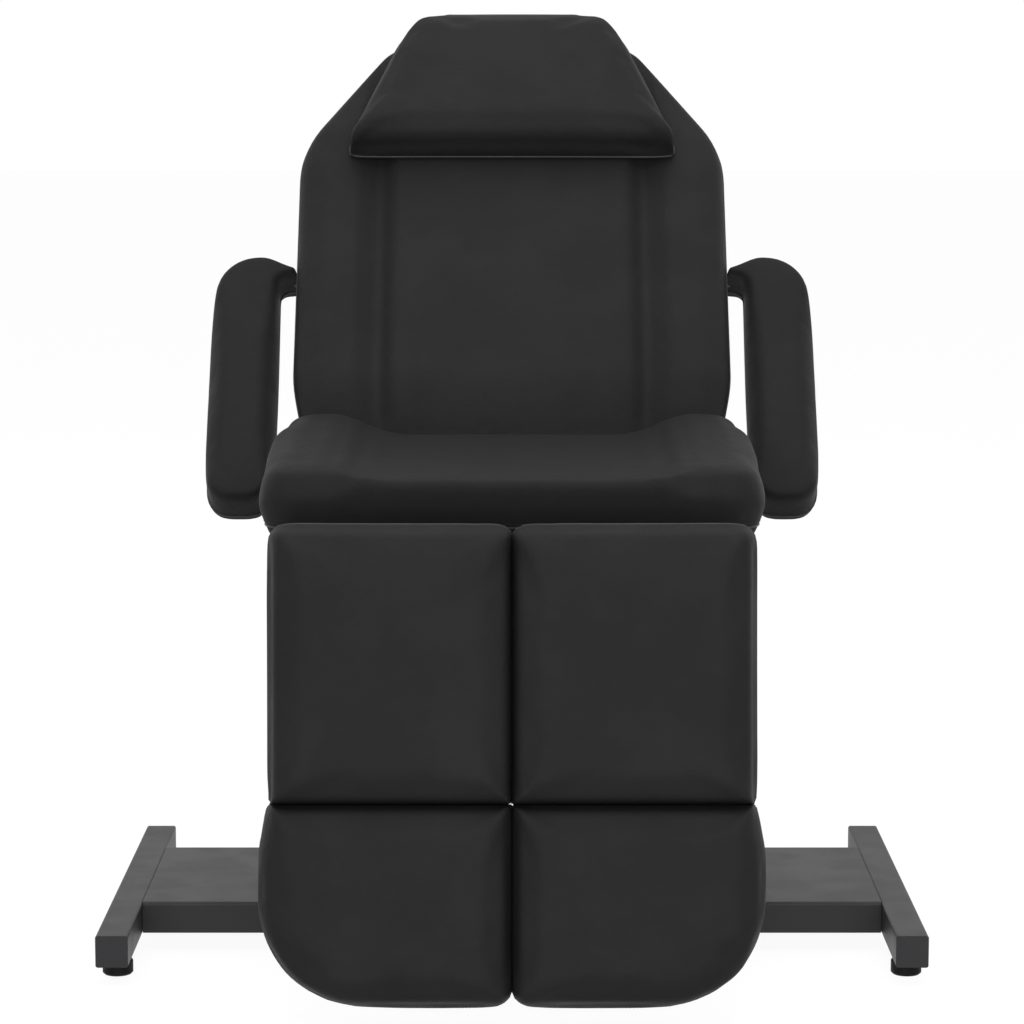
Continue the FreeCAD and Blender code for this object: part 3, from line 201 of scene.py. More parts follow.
@dataclass
class SurfaceGroups:
    """Shader groups that several finishes share.

    Scales are features per metre, and ranges are limits of a pattern's own values.
    """

    cloud_detail: float = 5.0
    cloud_roughness: float = 0.6
    cloud_range: Span = (0.3, 0.7)
    warp_scale: float = 180.0
    warp_detail: float = 2.0
    pebble_rise: float = 0.28
    crease_width: float = 0.1
    edge_samples: int = 4
    edge_range: Span = (0.8, 0.99)
    rub_scale: float = 70.0
    rub_detail: float = 4.0
    rub_range: Span = (0.35, 0.65)
    rub_least: float = 0.3
    mottle: Tree = field(init=False)
    pebble: Tree = field(init=False)
    edge: Tree = field(init=False)

    def __post_init__(self) -> None:
        """Build each group once."""
        self.mottle = self._mottle()
        self.pebble = self._pebble()
        self.edge = self._edge()

    @staticmethod
    def _new(name: str, inputs: tuple[str, ...], outputs: dict[str, str]) -> tuple[Tree, NodeBuilder]:
        """Make an empty group with float inputs besides its vector.

        Args:
            name: the group's name.
            inputs: names of the float inputs.
            outputs: kind of socket by the output's name.

        Returns:
            The group and a builder on it.
        """
        group = bpy.data.node_groups.new(name, "ShaderNodeTree")
        group.interface.new_socket("Vector", in_out="INPUT", socket_type="NodeSocketVector")
        for label in inputs:
            group.interface.new_socket(label, in_out="INPUT", socket_type="NodeSocketFloat")
        for label, kind in outputs.items():
            group.interface.new_socket(label, in_out="OUTPUT", socket_type="NodeSocket" + kind)
        return group, NodeBuilder(group)

    def _mottle(self) -> Tree:
        """Slow cloudy change of tone over a surface."""
        group, build = self._new("mottle", ("Scale",), {"Cloud": "Float"})
        source = build.add("NodeGroupInput")
        values = {"Detail": self.cloud_detail, "Roughness": self.cloud_roughness}
        cloud = build.add("ShaderNodeTexNoise", values)
        build.link(source.outputs["Vector"], cloud.inputs["Vector"])
        build.link(source.outputs["Scale"], cloud.inputs["Scale"])
        level = build.ramp(cloud.outputs["Fac"], *self.cloud_range, 0.0, 1.0)
        target = build.add("NodeGroupOutput")
        build.link(level, target.inputs["Cloud"])
        return group

    def _pebble(self) -> Tree:
        """Rounded pebbles parted by fine creases, as in embossed hide or coarse paint."""
        group, build = self._new("pebble", ("Scale", "Warp"), {"Height": "Float", "Crease": "Float"})
        source = build.add("NodeGroupInput")
        shift = build.add("ShaderNodeTexNoise", {"Scale": self.warp_scale, "Detail": self.warp_detail})
        build.link(source.outputs["Vector"], shift.inputs["Vector"])
        scaled = build.add("ShaderNodeVectorMath", operation="SCALE")
        build.link(shift.outputs["Color"], scaled.inputs[0])
        build.link(source.outputs["Warp"], scaled.inputs["Scale"])
        moved = build.add("ShaderNodeVectorMath", operation="ADD")
        build.link(source.outputs["Vector"], moved.inputs[0])
        build.link(scaled.outputs["Vector"], moved.inputs[1])
        cells = build.add("ShaderNodeTexVoronoi", feature="DISTANCE_TO_EDGE")
        build.link(moved.outputs["Vector"], cells.inputs["Vector"])
        build.link(source.outputs["Scale"], cells.inputs["Scale"])
        height = build.ramp(cells.outputs["Distance"], 0.0, self.pebble_rise, 0.0, 1.0)
        # Crease is 1 down in the creases between pebbles; the finishes darken the colour there with it,
        # as painted shade.
        crease = build.ramp(cells.outputs["Distance"], 0.0, self.crease_width, 1.0, 0.0)
        target = build.add("NodeGroupOutput")
        build.link(height, target.inputs["Height"])
        build.link(crease, target.inputs["Crease"])
        return group

    def _edge(self) -> Tree:
        """Normals rounded over sharp edges, and a mask of those edges broken up by a fine noise."""
        group, build = self._new("edge", ("Radius",), {"Edge": "Float", "Normal": "Vector"})
        source = build.add("NodeGroupInput")
        rounded = build.add("ShaderNodeBevel", samples=self.edge_samples)
        build.link(source.outputs["Radius"], rounded.inputs["Radius"])
        flat = build.add("ShaderNodeNewGeometry")
        turn = build.add("ShaderNodeVectorMath", operation="DOT_PRODUCT")
        build.link(rounded.outputs["Normal"], turn.inputs[0])
        build.link(flat.outputs["Normal"], turn.inputs[1])
        bare = build.ramp(turn.outputs["Value"], *self.edge_range, 1.0, 0.0)
        rub = build.add("ShaderNodeTexNoise", {"Scale": self.rub_scale, "Detail": self.rub_detail})
        build.link(source.outputs["Vector"], rub.inputs["Vector"])
        worn = build.add("ShaderNodeMath", operation="MULTIPLY")
        build.link(bare, worn.inputs[0])
        build.link(build.ramp(rub.outputs["Fac"], *self.rub_range, self.rub_least, 1.0), worn.inputs[1])
        target = build.add("NodeGroupOutput")
        build.link(worn.outputs[0], target.inputs["Edge"])
        build.link(rounded.outputs["Normal"], target.inputs["Normal"])
        return group


@dataclass(frozen=True)
class Finish:
    """A surface finish that several pieces share.

    Colours are linear; scales are features per metre and depths are metres.
    """

    look: Look
    colour: Colour
    shade: Colour
    roughness: Span
    metallic: float
    specular: float
    cloud_scale: float
    pebble_scale: float
    pebble_warp: float
    bump_depth: float
    bump_strength: float
    edge_radius: float = 0.0
    edge_colour: Colour = (0.0, 0.0, 0.0)
    wrinkle_scale: float = 0.0
    wrinkle_depth: float = 0.0
    cloud_share: float = 0.55
    # crease_share is how much of the shade colour is painted into the creases, as painted shade.
    crease_share: float = 0.45

    def material(self, groups: SurfaceGroups) -> bpy.types.Material:
        """Build the material of this finish.

        Args:
            groups: the shared shader groups.

        Returns:
            The new material.
        """
        material = bpy.data.materials.new(self.look.value)
        material.use_nodes = True
        build = NodeBuilder(material.node_tree)
        place = build.add("ShaderNodeTexCoord").outputs["Object"]
        place = self.stretch(build, place)
        mottle = build.add("ShaderNodeGroup", node_tree=groups.mottle)
        mottle.inputs["Scale"].default_value = self.cloud_scale
        build.link(place, mottle.inputs["Vector"])
        pebble = build.add("ShaderNodeGroup", node_tree=groups.pebble)
        pebble.inputs["Scale"].default_value = self.pebble_scale
        pebble.inputs["Warp"].default_value = self.pebble_warp
        build.link(place, pebble.inputs["Vector"])
        tone = build.ramp(mottle.outputs["Cloud"], 0.0, 1.0, 0.0, self.cloud_share)
        # Mix towards the shade colour with random clouds of tone and with the pattern's creases: painted
        # shade in the creases of hide, paint and plastic, and darker grain and brush lines in the
        # drawn-out wood and steel patterns.
        tone_grain_and_crease_shade = build.add("ShaderNodeMath", operation="MULTIPLY_ADD", use_clamp=True)
        tone_grain_and_crease_shade.inputs[1].default_value = self.crease_share
        build.link(pebble.outputs["Crease"], tone_grain_and_crease_shade.inputs[0])
        build.link(tone, tone_grain_and_crease_shade.inputs[2])
        shader = build.add("ShaderNodeBsdfPrincipled", {"Metallic": self.metallic})
        shader.inputs["Specular IOR Level"].default_value = self.specular
        colour = build.blend(tone_grain_and_crease_shade.outputs[0], self.colour, self.shade)
        rough = build.ramp(mottle.outputs["Cloud"], 0.0, 1.0, *self.roughness)
        build.link(rough, shader.inputs["Roughness"])
        bump = build.add("ShaderNodeBump", {"Strength": self.bump_strength, "Distance": self.bump_depth})
        build.link(pebble.outputs["Height"], bump.inputs["Height"])
        build.link(bump.outputs["Normal"], shader.inputs["Normal"])
        if self.wrinkle_scale:
            wrinkle = build.add("ShaderNodeGroup", node_tree=groups.mottle)
            wrinkle.inputs["Scale"].default_value = self.wrinkle_scale
            build.link(place, wrinkle.inputs["Vector"])
            broad = build.add("ShaderNodeBump", {"Strength": 1.0, "Distance": self.wrinkle_depth})
            build.link(wrinkle.outputs["Cloud"], broad.inputs["Height"])
            build.link(broad.outputs["Normal"], bump.inputs["Normal"])
        if self.edge_radius:
            edge = build.add("ShaderNodeGroup", node_tree=groups.edge)
            edge.inputs["Radius"].default_value = self.edge_radius
            build.link(place, edge.inputs["Vector"])
            build.link(edge.outputs["Normal"], bump.inputs["Normal"])
            colour = build.cover(edge.outputs["Edge"], colour, self.edge_colour)
        build.link(colour, shader.inputs["Base Color"])
        target = build.add("ShaderNodeOutputMaterial")
        build.link(shader.outputs["BSDF"], target.inputs["Surface"])
        return material

    def stretch(self, build: NodeBuilder, place: Socket) -> Socket:
        """Leave the pattern's coordinates as they are.

        Args:
            build: the material's builder.
            place: the coordinates.

        Returns:
            The same coordinates.
        """
        return place


@dataclass(frozen=True)
class BrushedFinish(Finish):
    """A finish whose pattern is drawn out along one axis, as brushing or wood grain is."""

    draw: tuple[float, float, float] = (0.06, 1.0, 1.0)

    def stretch(self, build: NodeBuilder, place: Socket) -> Socket:
        """Draw the pattern out along one axis.

        Args:
            build: the material's builder.
            place: the coordinates.

        Returns:
            The drawn-out coordinates.
        """
        mapping = build.add("ShaderNodeMapping", {"Scale": self.draw})
        build.link(place, mapping.inputs["Vector"])
        return mapping.outputs["Vector"]


FINISHES: tuple[Finish, ...] = (
    Finish(
        look=Look.UPHOLSTERY,
        colour=(0.0158, 0.0158, 0.0164),
        shade=(0.0136, 0.0136, 0.0142),
        roughness=(0.56, 0.62),
        metallic=0.0,
        specular=0.08,
        cloud_scale=9.0,
        pebble_scale=620.0,
        pebble_warp=0.0012,
        bump_depth=0.0004,
        bump_strength=0.3,
        wrinkle_scale=55.0,
        wrinkle_depth=0.0004,
    ),
    Finish(
        look=Look.BASE_PAINT,
        colour=(0.0132, 0.0135, 0.015),
        shade=(0.0121, 0.0124, 0.0138),
        roughness=(0.45, 0.5),
        metallic=0.0,
        specular=0.26,
        cloud_scale=14.0,
        pebble_scale=900.0,
        pebble_warp=0.002,
        bump_depth=0.0002,
        bump_strength=0.12,
        edge_radius=0.0012,
        edge_colour=(0.045, 0.046, 0.05),
    ),
    Finish(
        look=Look.FRAME_PAINT,
        colour=(0.018, 0.018, 0.019),
        shade=(0.013, 0.013, 0.014),
        roughness=(0.4, 0.5),
        metallic=0.0,
        specular=0.4,
        cloud_scale=14.0,
        pebble_scale=900.0,
        pebble_warp=0.002,
        bump_depth=0.0002,
        bump_strength=0.12,
        edge_radius=0.0012,
        edge_colour=(0.04, 0.04, 0.042),
    ),
    BrushedFinish(
        look=Look.BRIGHT_STEEL,
        colour=(0.55, 0.55, 0.56),
        shade=(0.4, 0.4, 0.41),
        roughness=(0.28, 0.4),
        metallic=1.0,
        specular=0.5,
        cloud_scale=60.0,
        pebble_scale=1400.0,
        pebble_warp=0.001,
        bump_depth=0.0001,
        bump_strength=0.1,
    ),
    BrushedFinish(
        look=Look.PLATED_ROD,
        colour=(0.7, 0.7, 0.72),
        shade=(0.6, 0.6, 0.62),
        roughness=(0.1, 0.18),
        metallic=1.0,
        specular=0.5,
        cloud_scale=40.0,
        pebble_scale=2000.0,
        pebble_warp=0.001,
        bump_depth=0.00005,
        bump_strength=0.05,
    ),
    BrushedFinish(
        look=Look.PLYWOOD,
        colour=(0.075, 0.055, 0.04),
        shade=(0.035, 0.026, 0.02),
        roughness=(0.6, 0.75),
        metallic=0.0,
        specular=0.3,
        cloud_scale=26.0,
        pebble_scale=260.0,
        pebble_warp=0.004,
        bump_depth=0.0003,
        bump_strength=0.2,
    ),
    Finish(
        look=Look.BLACK_PLASTIC,
        colour=(0.0045, 0.0045, 0.0047),
        shade=(0.0034, 0.0034, 0.0036),
        roughness=(0.5, 0.62),
        metallic=0.0,
        specular=0.12,
        cloud_scale=30.0,
        pebble_scale=1500.0,
        pebble_warp=0.001,
        bump_depth=0.0001,
        bump_strength=0.2,
    ),
    Finish(
        look=Look.PIPING,
        colour=(0.024, 0.024, 0.025),
        shade=(0.018, 0.018, 0.0188),
        roughness=(0.38, 0.46),
        metallic=0.0,
        specular=0.3,
        cloud_scale=40.0,
        pebble_scale=900.0,
        pebble_warp=0.001,
        bump_depth=0.0002,
        bump_strength=0.15,
    ),
    Finish(
        look=Look.THREAD,
        colour=(0.02, 0.02, 0.021),
        shade=(0.011, 0.011, 0.0115),
        roughness=(0.4, 0.5),
        metallic=0.0,
        specular=0.3,
        cloud_scale=300.0,
        pebble_scale=2600.0,
        pebble_warp=0.001,
        bump_depth=0.0002,
        bump_strength=0.4,
    ),
)


@dataclass
class Chair:
    """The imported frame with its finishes, shared by every sub-assembly."""

    frame: dict
    groups: SurfaceGroups = field(default_factory=SurfaceGroups)
    materials: dict[Look, bpy.types.Material] = field(default_factory=dict)

    def make_finishes(self) -> None:
        """Build the material of every finish."""
        for finish in FINISHES:
            self.materials[finish.look] = finish.material(self.groups)

    def dress_nodes(self) -> None:
        """Give each node of the frame the material of its slot."""
        for entry in self.frame["record"]["subparts"]:
            node = self.frame["nodes"][entry["node"]]
            node.data.materials.clear()
            node.data.materials.append(self.materials[Look(entry["material_slot"])])

    def joint_place(self, name: str) -> Vector:
        """A hinge's point in the chair's frame, by the joint's name."""
        joint = next(j for j in self.frame["joints"] if j["name"] == name)
        return Vector(joint["pos_m"])

    def add(self, name: str, mesh: bpy.types.Mesh, body: str, look: Look) -> bpy.types.Object:
        """Put a finished mesh in the scene as a piece of the chair.

        Args:
            name: the piece's name.
            mesh: its mesh, already at its place.
            body: the body that it rides on.
            look: the finish that it takes.

        Returns:
            The new object.
        """
        mesh.materials.clear()
        mesh.materials.append(self.materials[look])
        piece = bpy.data.objects.new(name, mesh)
        bpy.context.scene.collection.objects.link(piece)
        for polygon in mesh.polygons:
            polygon.use_smooth = True
        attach(piece, body)
        log.info("made %s on %s: %d faces", name, body, len(mesh.polygons))
        return piece


def evaluated_mesh(piece: bpy.types.Object) -> bpy.types.Mesh:
    """A new mesh of a piece with its modifiers applied."""
    graph = bpy.context.evaluated_depsgraph_get()
    return bpy.data.meshes.new_from_object(piece.evaluated_get(graph))


@dataclass
class Seam:
    """A sewn seam round a pad: a closed level line with its welt and a row of stitches above it.

    Lengths are metres.
    """

    line: list[Vector]
    row: list[Vector]
    welt_radius: float
    welt_sides: int = 8
    stitch_pitch: float = 0.0042
    stitch_length: float = 0.003
    stitch_radius: float = 0.00045
    welt_step: float = 0.0084
    least_points: int = 8

    @classmethod
    def round(cls, cover: bpy.types.Mesh, share: float, radius: float) -> "Seam":
        """Find the seam's line on a finished cover.

        Args:
            cover: the cover, flat in its own frame.
            share: height of the seam, 0 at the board and 1 at the crown.
            radius: radius of its welt.

        Returns:
            The seam along the cover's section at that height.
        """
        heights = [v.co.z for v in cover.vertices]
        level = min(heights) + share * (max(heights) - min(heights))
        return cls(cls._section(cover, level), cls._section(cover, level + STITCH_RISE), radius)

    @classmethod
    def _section(cls, cover: bpy.types.Mesh, level: float) -> list[Vector]:
        """The cover's longest closed line at a level."""
        shape = bmesh.new()
        shape.from_mesh(cover)
        parts = shape.verts[:] + shape.edges[:] + shape.faces[:]
        bmesh.ops.bisect_plane(
            shape, geom=parts, plane_co=level * UP, plane_no=UP, clear_inner=True, clear_outer=True
        )
        line = cls._longest_loop(shape)
        shape.free()
        return line

    @staticmethod
    def _longest_loop(shape: bmesh.types.BMesh) -> list[Vector]:
        """Walk the loose edges of a section and keep its longest closed run of points."""
        left = set(shape.verts)
        best: list[Vector] = []
        while left:
            vertex = next(v for v in shape.verts if v in left)
            run = []
            while vertex is not None:
                left.discard(vertex)
                run.append(vertex.co.copy())
                nearby = [edge.other_vert(vertex) for edge in vertex.link_edges]
                vertex = next((v for v in nearby if v in left), None)
            if len(run) > len(best):
                best = run
        return best

    def _spaced(self, line: list[Vector], step: float) -> list[tuple[Vector, Vector]]:
        """Points and directions along a closed line at even steps.

        Args:
            line: the closed line's points.
            step: wanted distance between points.

        Returns:
            Each point with the line's direction there.
        """
        ring = line + line[:1]
        lengths = [(b - a).length for a, b in zip(ring, ring[1:])]
        count = max(self.least_points, round(sum(lengths) / step))
        step = sum(lengths) / count
        places = []
        index, passed = 0, 0.0
        for number in range(count):
            while passed + lengths[index] < number * step:
                passed += lengths[index]
                index += 1
            share = (number * step - passed) / lengths[index]
            places.append(ring[index].lerp(ring[index + 1], share))
        around = [(places[k - 1], places[k], places[(k + 1) % count]) for k in range(count)]
        return [(here, (after - before).normalized()) for before, here, after in around]

    def welt(self) -> bpy.types.Mesh:
        """A thin cord sewn into the seam."""
        shape = bmesh.new()
        turns = [2 * math.pi * k / self.welt_sides for k in range(self.welt_sides)]
        rings = []
        for place, along in self._spaced(self.line, self.welt_step):
            out = along.cross(UP)
            spokes = [out * math.cos(a) + UP * math.sin(a) for a in turns]
            rings.append([shape.verts.new(place + spoke * self.welt_radius) for spoke in spokes])
        for ring, after in zip(rings, rings[1:] + rings[:1]):
            for k in range(self.welt_sides):
                shape.faces.new((ring[k - 1], ring[k], after[k], after[k - 1]))
        return self._finished(shape, "welt")

    def stitches(self) -> bpy.types.Mesh:
        """A row of short stitches along the seam."""
        shape = bmesh.new()
        for place, along in self._spaced(self.row, self.stitch_pitch):
            turn = Matrix((along, along.cross(UP), UP)).transposed().to_4x4()
            size = Matrix.Diagonal((self.stitch_length / 2, self.stitch_radius, self.stitch_radius, 1))
            spot = Matrix.Translation(place)
            bmesh.ops.create_icosphere(shape, subdivisions=1, radius=1.0, matrix=spot @ turn @ size)
        return self._finished(shape, "stitches")

    @staticmethod
    def _finished(shape: bmesh.types.BMesh, name: str) -> bpy.types.Mesh:
        """Turn a shape into a mesh with its faces outwards."""
        bmesh.ops.recalc_face_normals(shape, faces=shape.faces)
        mesh = bpy.data.meshes.new(name)
        shape.to_mesh(mesh)
        shape.free()
        return mesh


@dataclass
class Pad:
    """One upholstered pad, swollen from the solid of its node.

    Lengths are metres. The pad lies flat in its own frame, with z out of the cover's face.
    """

    node: str
    body: str
    fill: float
    voxel: float
    place: Matrix
    welts: tuple[float, ...] = ()
    welt_radius: float = 0.0013
    grow: tuple[Span, ...] = ((0.0, 0.0),) * 3
    mould: Callable[[Vector, Limits], Vector] | None = None
    swell: float = 0.0055
    shrink: float = 0.004
    hold: float = 0.004
    pressure: float = 4.0
    frames: int = 20
    press: float = 0.004
    quality: int = 4
    relax: int = 4
    relax_factor: float = 0.5

    def build(self, chair: Chair) -> bpy.types.Object:
        """Make the pad, dress it and let it stand for its node.

        Args:
            chair: the frame and its finishes.

        Returns:
            The finished pad.
        """
        work = self._remeshed(chair.frame["nodes"][self.node])
        limits = self._limits(work.data)
        self._shrink(work.data)
        cover = self._inflated(work)
        bpy.data.objects.remove(work)
        self._relax(cover)
        self._fit(cover, limits)
        if self.mould:
            for vertex in cover.vertices:
                vertex.co = self.mould(vertex.co, limits)
        seams = [Seam.round(cover, share, self.welt_radius) for share in self.welts]
        cover.transform(self.place)
        cover.name = self.node + "_cover"
        pad = chair.add(self.node + "_cover", cover, self.body, Look.UPHOLSTERY)
        smooth = pad.modifiers.new("Smooth", "SUBSURF")
        smooth.levels = smooth.render_levels = 1
        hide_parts(self.node)
        for number, seam in enumerate(seams):
            sewn = (("welt", seam.welt(), Look.PIPING), ("stitches", seam.stitches(), Look.THREAD))
            for part, mesh, look in sewn:
                mesh.transform(self.place)
                chair.add(f"{self.node}_{part}_{number}", mesh, self.body, look)
        return pad

    def _remeshed(self, node: bpy.types.Object) -> bpy.types.Object:
        """A copy of the node's solid, flat in its own frame, with even faces.

        Args:
            node: the node's object.

        Returns:
            A scratch object with the new mesh.
        """
        mesh = node.data.copy()
        mesh.transform(self.place.inverted())
        shape = bmesh.new()
        shape.from_mesh(mesh)
        bmesh.ops.remove_doubles(shape, verts=shape.verts, dist=MERGE_DISTANCE)
        bmesh.ops.recalc_face_normals(shape, faces=shape.faces)
        shape.to_mesh(mesh)
        shape.free()
        work = bpy.data.objects.new(self.node + "_work", mesh)
        bpy.context.scene.collection.objects.link(work)
        remesh = work.modifiers.new("Even", "REMESH")
        remesh.mode = "VOXEL"
        remesh.voxel_size = self.voxel
        even = evaluated_mesh(work)
        work.modifiers.clear()
        work.data = even
        return work

    def _shrink(self, mesh: bpy.types.Mesh) -> None:
        """Draw the cover in along its normals, so that it can swell back to size."""
        moves = [v.normal * self.shrink for v in mesh.vertices]
        for vertex, move in zip(mesh.vertices, moves):
            vertex.co -= move

    def _inflated(self, work: bpy.types.Object) -> bpy.types.Mesh:
        """Swell the cover with air under cloth simulation, held where it is tacked to its board.

        Args:
            work: the scratch object with the drawn-in cover.

        Returns:
            The swollen mesh, no vertex further from its start than the pad's swell.
        """
        start = [v.co.copy() for v in work.data.vertices]
        floor = min(co.z for co in start)
        tacks = work.vertex_groups.new(name="tacks")
        tacks.add([i for i, co in enumerate(start) if co.z < floor + self.hold], 1.0, "REPLACE")
        cloth = work.modifiers.new("Air", "CLOTH")
        cloth.settings.use_pressure = True
        cloth.settings.uniform_pressure_force = self.pressure
        cloth.settings.effector_weights.gravity = 0.0
        cloth.settings.vertex_group_mass = tacks.name
        cloth.settings.quality = self.quality
        scene = bpy.context.scene
        cloth.point_cache.frame_start = 1
        cloth.point_cache.frame_end = self.frames
        for number in range(1, self.frames + 1):
            scene.frame_set(number)
        swollen = evaluated_mesh(work)
        scene.frame_set(1)
        for vertex, origin in zip(swollen.vertices, start):
            move = vertex.co - origin
            if move.length > self.swell:
                vertex.co = origin + move.normalized() * self.swell
        return swollen

    @staticmethod
    def _limits(mesh: bpy.types.Mesh) -> Limits:
        """Lowest and highest coordinate of a mesh on each axis."""
        axes = zip(*(v.co for v in mesh.vertices))
        return [(min(values), max(values)) for values in axes]

    def _fit(self, mesh: bpy.types.Mesh, limits: Limits) -> None:
        """Stretch the relaxed cover back to the solid's limits, grown by the pad's own margins.

        Where it grows towards a neighbour it is squeezed flat, as two pads in touch are.

        Args:
            mesh: the cover, flat in its own frame.
            limits: the solid's limits on each axis.
        """
        now = self._limits(mesh)
        for axis, ((low, high), (less, more)) in enumerate(zip(limits, self.grow)):
            low, high = low - less, high + more
            below = self.press if less else 0.0
            above = self.press if more else 0.0
            scale = (high + above - low + below) / (now[axis][1] - now[axis][0])
            for vertex in mesh.vertices:
                place = low - below + (vertex.co[axis] - now[axis][0]) * scale
                vertex.co[axis] = min(max(place, low), high)

    def _relax(self, mesh: bpy.types.Mesh) -> None:
        """Even out the cover's surface."""
        shape = bmesh.new()
        shape.from_mesh(mesh)
        for _ in range(self.relax):
            bmesh.ops.smooth_vert(
                shape,
                verts=shape.verts,
                factor=self.relax_factor,
                use_axis_x=True,
                use_axis_y=True,
                use_axis_z=True,
            )
        shape.to_mesh(mesh)
        shape.free()


def eased(value: float, start: float, end: float) -> float:
    """0 before start, 1 after end, and a smooth rise between."""
    share = min(max((value - start) / (end - start), 0.0), 1.0)
    return share * share * (3 - 2 * share)


class Section:
    """A section of the chair, which makes its own pads."""

    def pads(self, chair: Chair) -> list[Pad]:
        """List the section's pads in the order in which they are made."""
        raise NotImplementedError

    def build(self, chair: Chair) -> None:
        """Make every pad of the section."""
        for pad in self.pads(chair):
            pad.build(chair)


@dataclass
class SeatSection(Section):
    """The seat cushion, with a hollow between two bolsters.

    The dish is the solid's own hollow, and a wider, softer one takes its place. Lengths are metres.
    Bands are shares of the cushion's height, and the shoulder's and the bulge's places across are
    shares of its half width.
    """

    welt_share: float = 0.12
    dish_edge: Span = (0.165, 0.225)
    dish_depth: float = 0.029
    hollow_edge: Span = (0.14, 0.24)
    hollow_depth: float = 0.0235
    face_band: Span = (0.1, 0.78)
    bolster_rise: float = 0.002
    bolster_fall: float = 0.017
    bolster_reach: float = 0.33
    shoulder_fill: float = 0.014
    shoulder_front: float = 0.15
    shoulder_rear: float = 0.26
    shoulder_across: Span = (0.8, 0.94)
    shoulder_band: Span = (0.55, 0.95)
    shoulder_over: float = 0.0035
    shoulder_lift: float = 0.4
    bulge_depth: float = 0.009
    bulge_across: Span = (0.75, 1.0)
    tuck_depth: float = 0.022
    tuck_reach: float = 0.08
    tuck_band: Span = (0.0, 0.7)

    def pads(self, chair: Chair) -> list[Pad]:
        """The seat's one pad, which lies level as the chair does."""
        place = Matrix.Identity(4)
        welts = (self.welt_share,)
        return [Pad("seat_cushion", "base", FIRM_FILL, BROAD_VOXEL, place, welts, mould=self.mould)]

    def mould(self, point: Vector, limits: Limits) -> Vector:
        """Soften the hollow, let the bolsters fall away to the front and tuck that edge under.

        Args:
            point: a point of the cover.
            limits: the solid's limits on each axis.

        Returns:
            The moved point.
        """
        side = limits[0][1]
        front, rear = limits[1]
        low, high = limits[2]
        across = abs(point.x)
        share = across / side
        level = (point.z - low) / (high - low)
        behind = eased(point.y, front, front + self.bolster_reach)
        bolster = self.bolster_rise - self.bolster_fall * (1 - behind)
        wanted = (bolster + self.hollow_depth) * eased(across, *self.hollow_edge) - self.hollow_depth
        solid = -self.dish_depth * (1 - eased(across, *self.dish_edge))
        middle = eased(point.y, front, front + self.shoulder_front)
        middle *= 1 - eased(point.y, rear - self.shoulder_rear, rear)
        shoulder = eased(share, *self.shoulder_across) * eased(level, *self.shoulder_band)
        filled = self.shoulder_fill * shoulder * middle
        bulge = self.bulge_depth * math.sin(math.pi * level) * eased(share, *self.bulge_across)
        tuck = self.tuck_depth * (1 - eased(level, *self.tuck_band))
        tuck *= 1 - eased(point.y, front, front + self.tuck_reach)
        wider = min(across + filled, side + self.shoulder_over) + bulge
        rise = eased(level, *self.face_band) * (wanted - solid) + self.shoulder_lift * filled
        return Vector((math.copysign(wider, point.x), point.y + tuck, point.z + rise))


@dataclass
class BackSection(Section):
    """The back cushion, with two sewn channels, and the head pillow.

    Lengths are metres. The corners' place across is a share of the cushion's half width.
    """

    angle: float = math.radians(54.0)
    welt_share: float = 0.36
    channel_x: float = 0.185
    channel_reach: float = 0.013
    channel_depth: float = 0.008
    lower_roll: float = 0.024
    lower_reach: float = 0.12
    corner_draw: float = 0.017
    corner_reach: float = 0.13
    corner_across: Span = (0.5, 1.0)
    face_band: Span = (0.5, 1.0)
    pillow_welt_share: float = 0.08
    pillow_welt_radius: float = 0.0022

    def frame(self, chair: Chair) -> Matrix:
        """Frame of the back: y up along it and z out of its face."""
        return Matrix.Translation(chair.joint_place("recline")) @ Matrix.Rotation(self.angle, 4, "X")

    def pads(self, chair: Chair) -> list[Pad]:
        """The back's cushion and the pillow on it.

        Args:
            chair: the frame and its finishes.

        Returns:
            The two pads.
        """
        place = self.frame(chair)
        welts, cords = (self.welt_share,), (self.pillow_welt_share,)
        cord = self.pillow_welt_radius
        return [
            Pad("back_cushion", "backrest", FIRM_FILL, BROAD_VOXEL, place, welts, mould=self.mould),
            Pad("head_pillow", "pillow", SOFT_FILL, FINE_VOXEL, place, cords, welt_radius=cord),
        ]

    def mould(self, point: Vector, limits: Limits) -> Vector:
        """Draw the back in along its channels and at its lower corners, and roll that end away.

        Args:
            point: a point of the cover.
            limits: the solid's limits on each axis.

        Returns:
            The moved point.
        """
        side = limits[0][1]
        bottom = limits[1][0]
        low, high = limits[2]
        face = eased((point.z - low) / (high - low), *self.face_band)
        aside = (abs(point.x) - self.channel_x) / self.channel_reach
        drop = self.channel_depth * math.exp(-aside * aside)
        drop += self.lower_roll * (1 - eased(point.y, bottom, bottom + self.lower_reach))
        inward = self.corner_draw * (1 - eased(point.y, bottom, bottom + self.corner_reach))
        inward *= eased(abs(point.x) / side, *self.corner_across)
        return point - Vector((math.copysign(inward, point.x), 0, drop * face))


